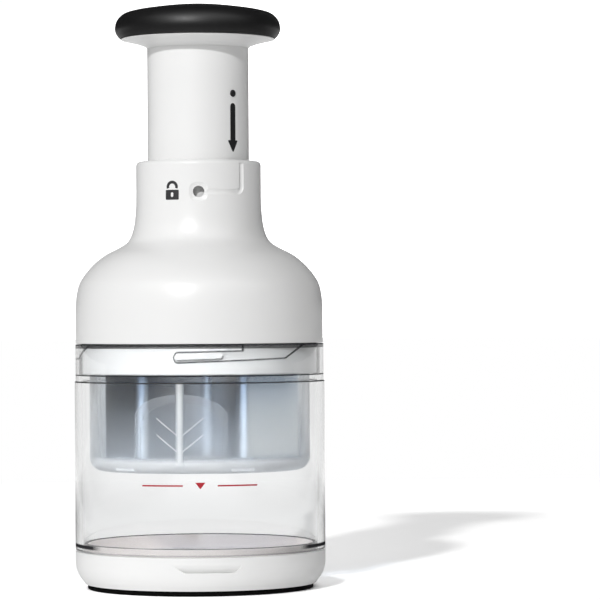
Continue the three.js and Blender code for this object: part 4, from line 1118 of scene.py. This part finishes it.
def light_world():
    """White where the camera looks, and soft cards round the part for its light, its reflections
    and what shows through its clear walls."""
    world = bpy.data.worlds.new("studio")
    tree = emptied(world)
    path, unbounced = light_path(tree)
    inside = from_inside(tree, path)
    coord = node(tree, "ShaderNodeTexCoord")
    axes = node(tree, "ShaderNodeSeparateXYZ")
    tree.links.new(coord.outputs["Generated"], axes.inputs["Vector"])

    def eased(value, low, high, a, b):
        return mapped(tree, value, low, high, a, b, interpolation_type="SMOOTHSTEP")

    def along(axis, low, high, a, b):
        """Brightness from a to b between two values of a direction's part along an axis."""
        return eased(axes.outputs[axis], low, high, a, b)

    def lobe(direction, low, high, strength):
        """A soft card about a direction. Low and high are cosines of its outer and inner cone."""
        near = node(tree, "ShaderNodeVectorMath", operation="DOT_PRODUCT")
        near.inputs[1].default_value = direction
        tree.links.new(coord.outputs["Generated"], near.inputs[0])
        return eased(near.outputs["Value"], low, high, 0, strength)

    def choose(factor, a, b):
        m = node(tree, "ShaderNodeMix", data_type="FLOAT")
        for key, value in (("Factor", factor), ("A", a), ("B", b)):
            tree.links.new(value, m.inputs[key])
        return m.outputs["Result"]

    backdrop = along("Y", 0.92, 0.985, 0, 1.0)
    soft_box = plus(tree, along("X", -0.05, 0.85, 0.57, 0.03),
                    lobe((0.407, 0.914, 0), 0.86, 0.97, 3.6))
    over_card = times(tree, along("Z", 0.3, 0.5, 0, 1.3), along("Y", -0.5, -0.1, 1, 0))
    mirrored = most(tree, plus(tree, along("Y", -1.0, -0.2, 0.18, 0.02), over_card),
                    along("Y", 0.97, 0.995, 0, 1.0))
    in_steel = most(tree, along("X", 0.6, 1.0, 0.03, 4.4), along("Y", -1.0, -0.55, 7.0, 0.03),
                    backdrop)
    through = choose(inside, most(tree, backdrop, 0.6), in_steel)
    light = choose(path.outputs["Is Glossy Ray"], soft_box, mirrored)
    light = choose(path.outputs["Is Transmission Ray"], light, through)
    light = choose(unbounced, soft_box, light)

    # Cool from the left and warm from the right, for what the blade mirrors
    warmth = node(tree, "ShaderNodeMix", data_type="RGBA")
    warmth.inputs["A"].default_value = (0.92, 0.98, 1.06, 1)
    warmth.inputs["B"].default_value = (1.08, 1.0, 0.88, 1)
    tree.links.new(along("X", 0.2, 0.9, 0, 1), warmth.inputs["Factor"])
    tint = node(tree, "ShaderNodeMix", data_type="RGBA")
    tint.inputs["A"].default_value = (1, 1, 1, 1)
    tree.links.new(inside, tint.inputs["Factor"])
    tree.links.new(warmth.outputs["Result"], tint.inputs["B"])

    sky = node(tree, "ShaderNodeBackground")
    tree.links.new(tint.outputs["Result"], sky.inputs["Color"])
    tree.links.new(most(tree, light, path.outputs["Is Camera Ray"]), sky.inputs["Strength"])
    output = node(tree, "ShaderNodeOutputWorld")
    tree.links.new(sky.outputs[0], output.inputs["Surface"])
    return world


scene.world = light_world()

# Lamp, in metres and watts: in front, to the left and above
KEY_UP, KEY_SIDE, KEY_REACH = 27.5 * DEG, 17.5 * DEG, 4.0
KEY_AIM = Vector((0, 0, 0.1))
key_data = bpy.data.lights.new("key", "AREA")
key_data.shape = "DISK"
key_data.size = 0.2
key_data.energy = 82
key = bpy.data.objects.new("key", key_data)
scene.collection.objects.link(key)
shine = Vector((math.sin(KEY_SIDE) * math.cos(KEY_UP), math.cos(KEY_SIDE) * math.cos(KEY_UP),
                -math.sin(KEY_UP)))
key.location = KEY_AIM - shine * KEY_REACH
key.rotation_euler = shine.to_track_quat("-Z", "Y").to_euler()

# Camera: almost level, and turned a little to the right, so that the part stands to the left
PAN, TILT, ROLL = -1.756 * DEG, 0.209 * DEG, -0.34 * DEG
cam_data = bpy.data.cameras.new("camera")
cam_data.lens = 197.2
cam_data.sensor_width = 36
cam_data.clip_start = 0.05
cam_data.clip_end = 50
camera = bpy.data.objects.new("camera", cam_data)
scene.collection.objects.link(camera)
aim = (Matrix.Rotation(PAN, 4, "Z") @ Matrix.Rotation(QUARTER + TILT, 4, "X")
       @ Matrix.Rotation(ROLL, 4, "Z"))
camera.location = (0, -1.264, 0.1055)
camera.rotation_euler = aim.to_euler()
scene.camera = camera
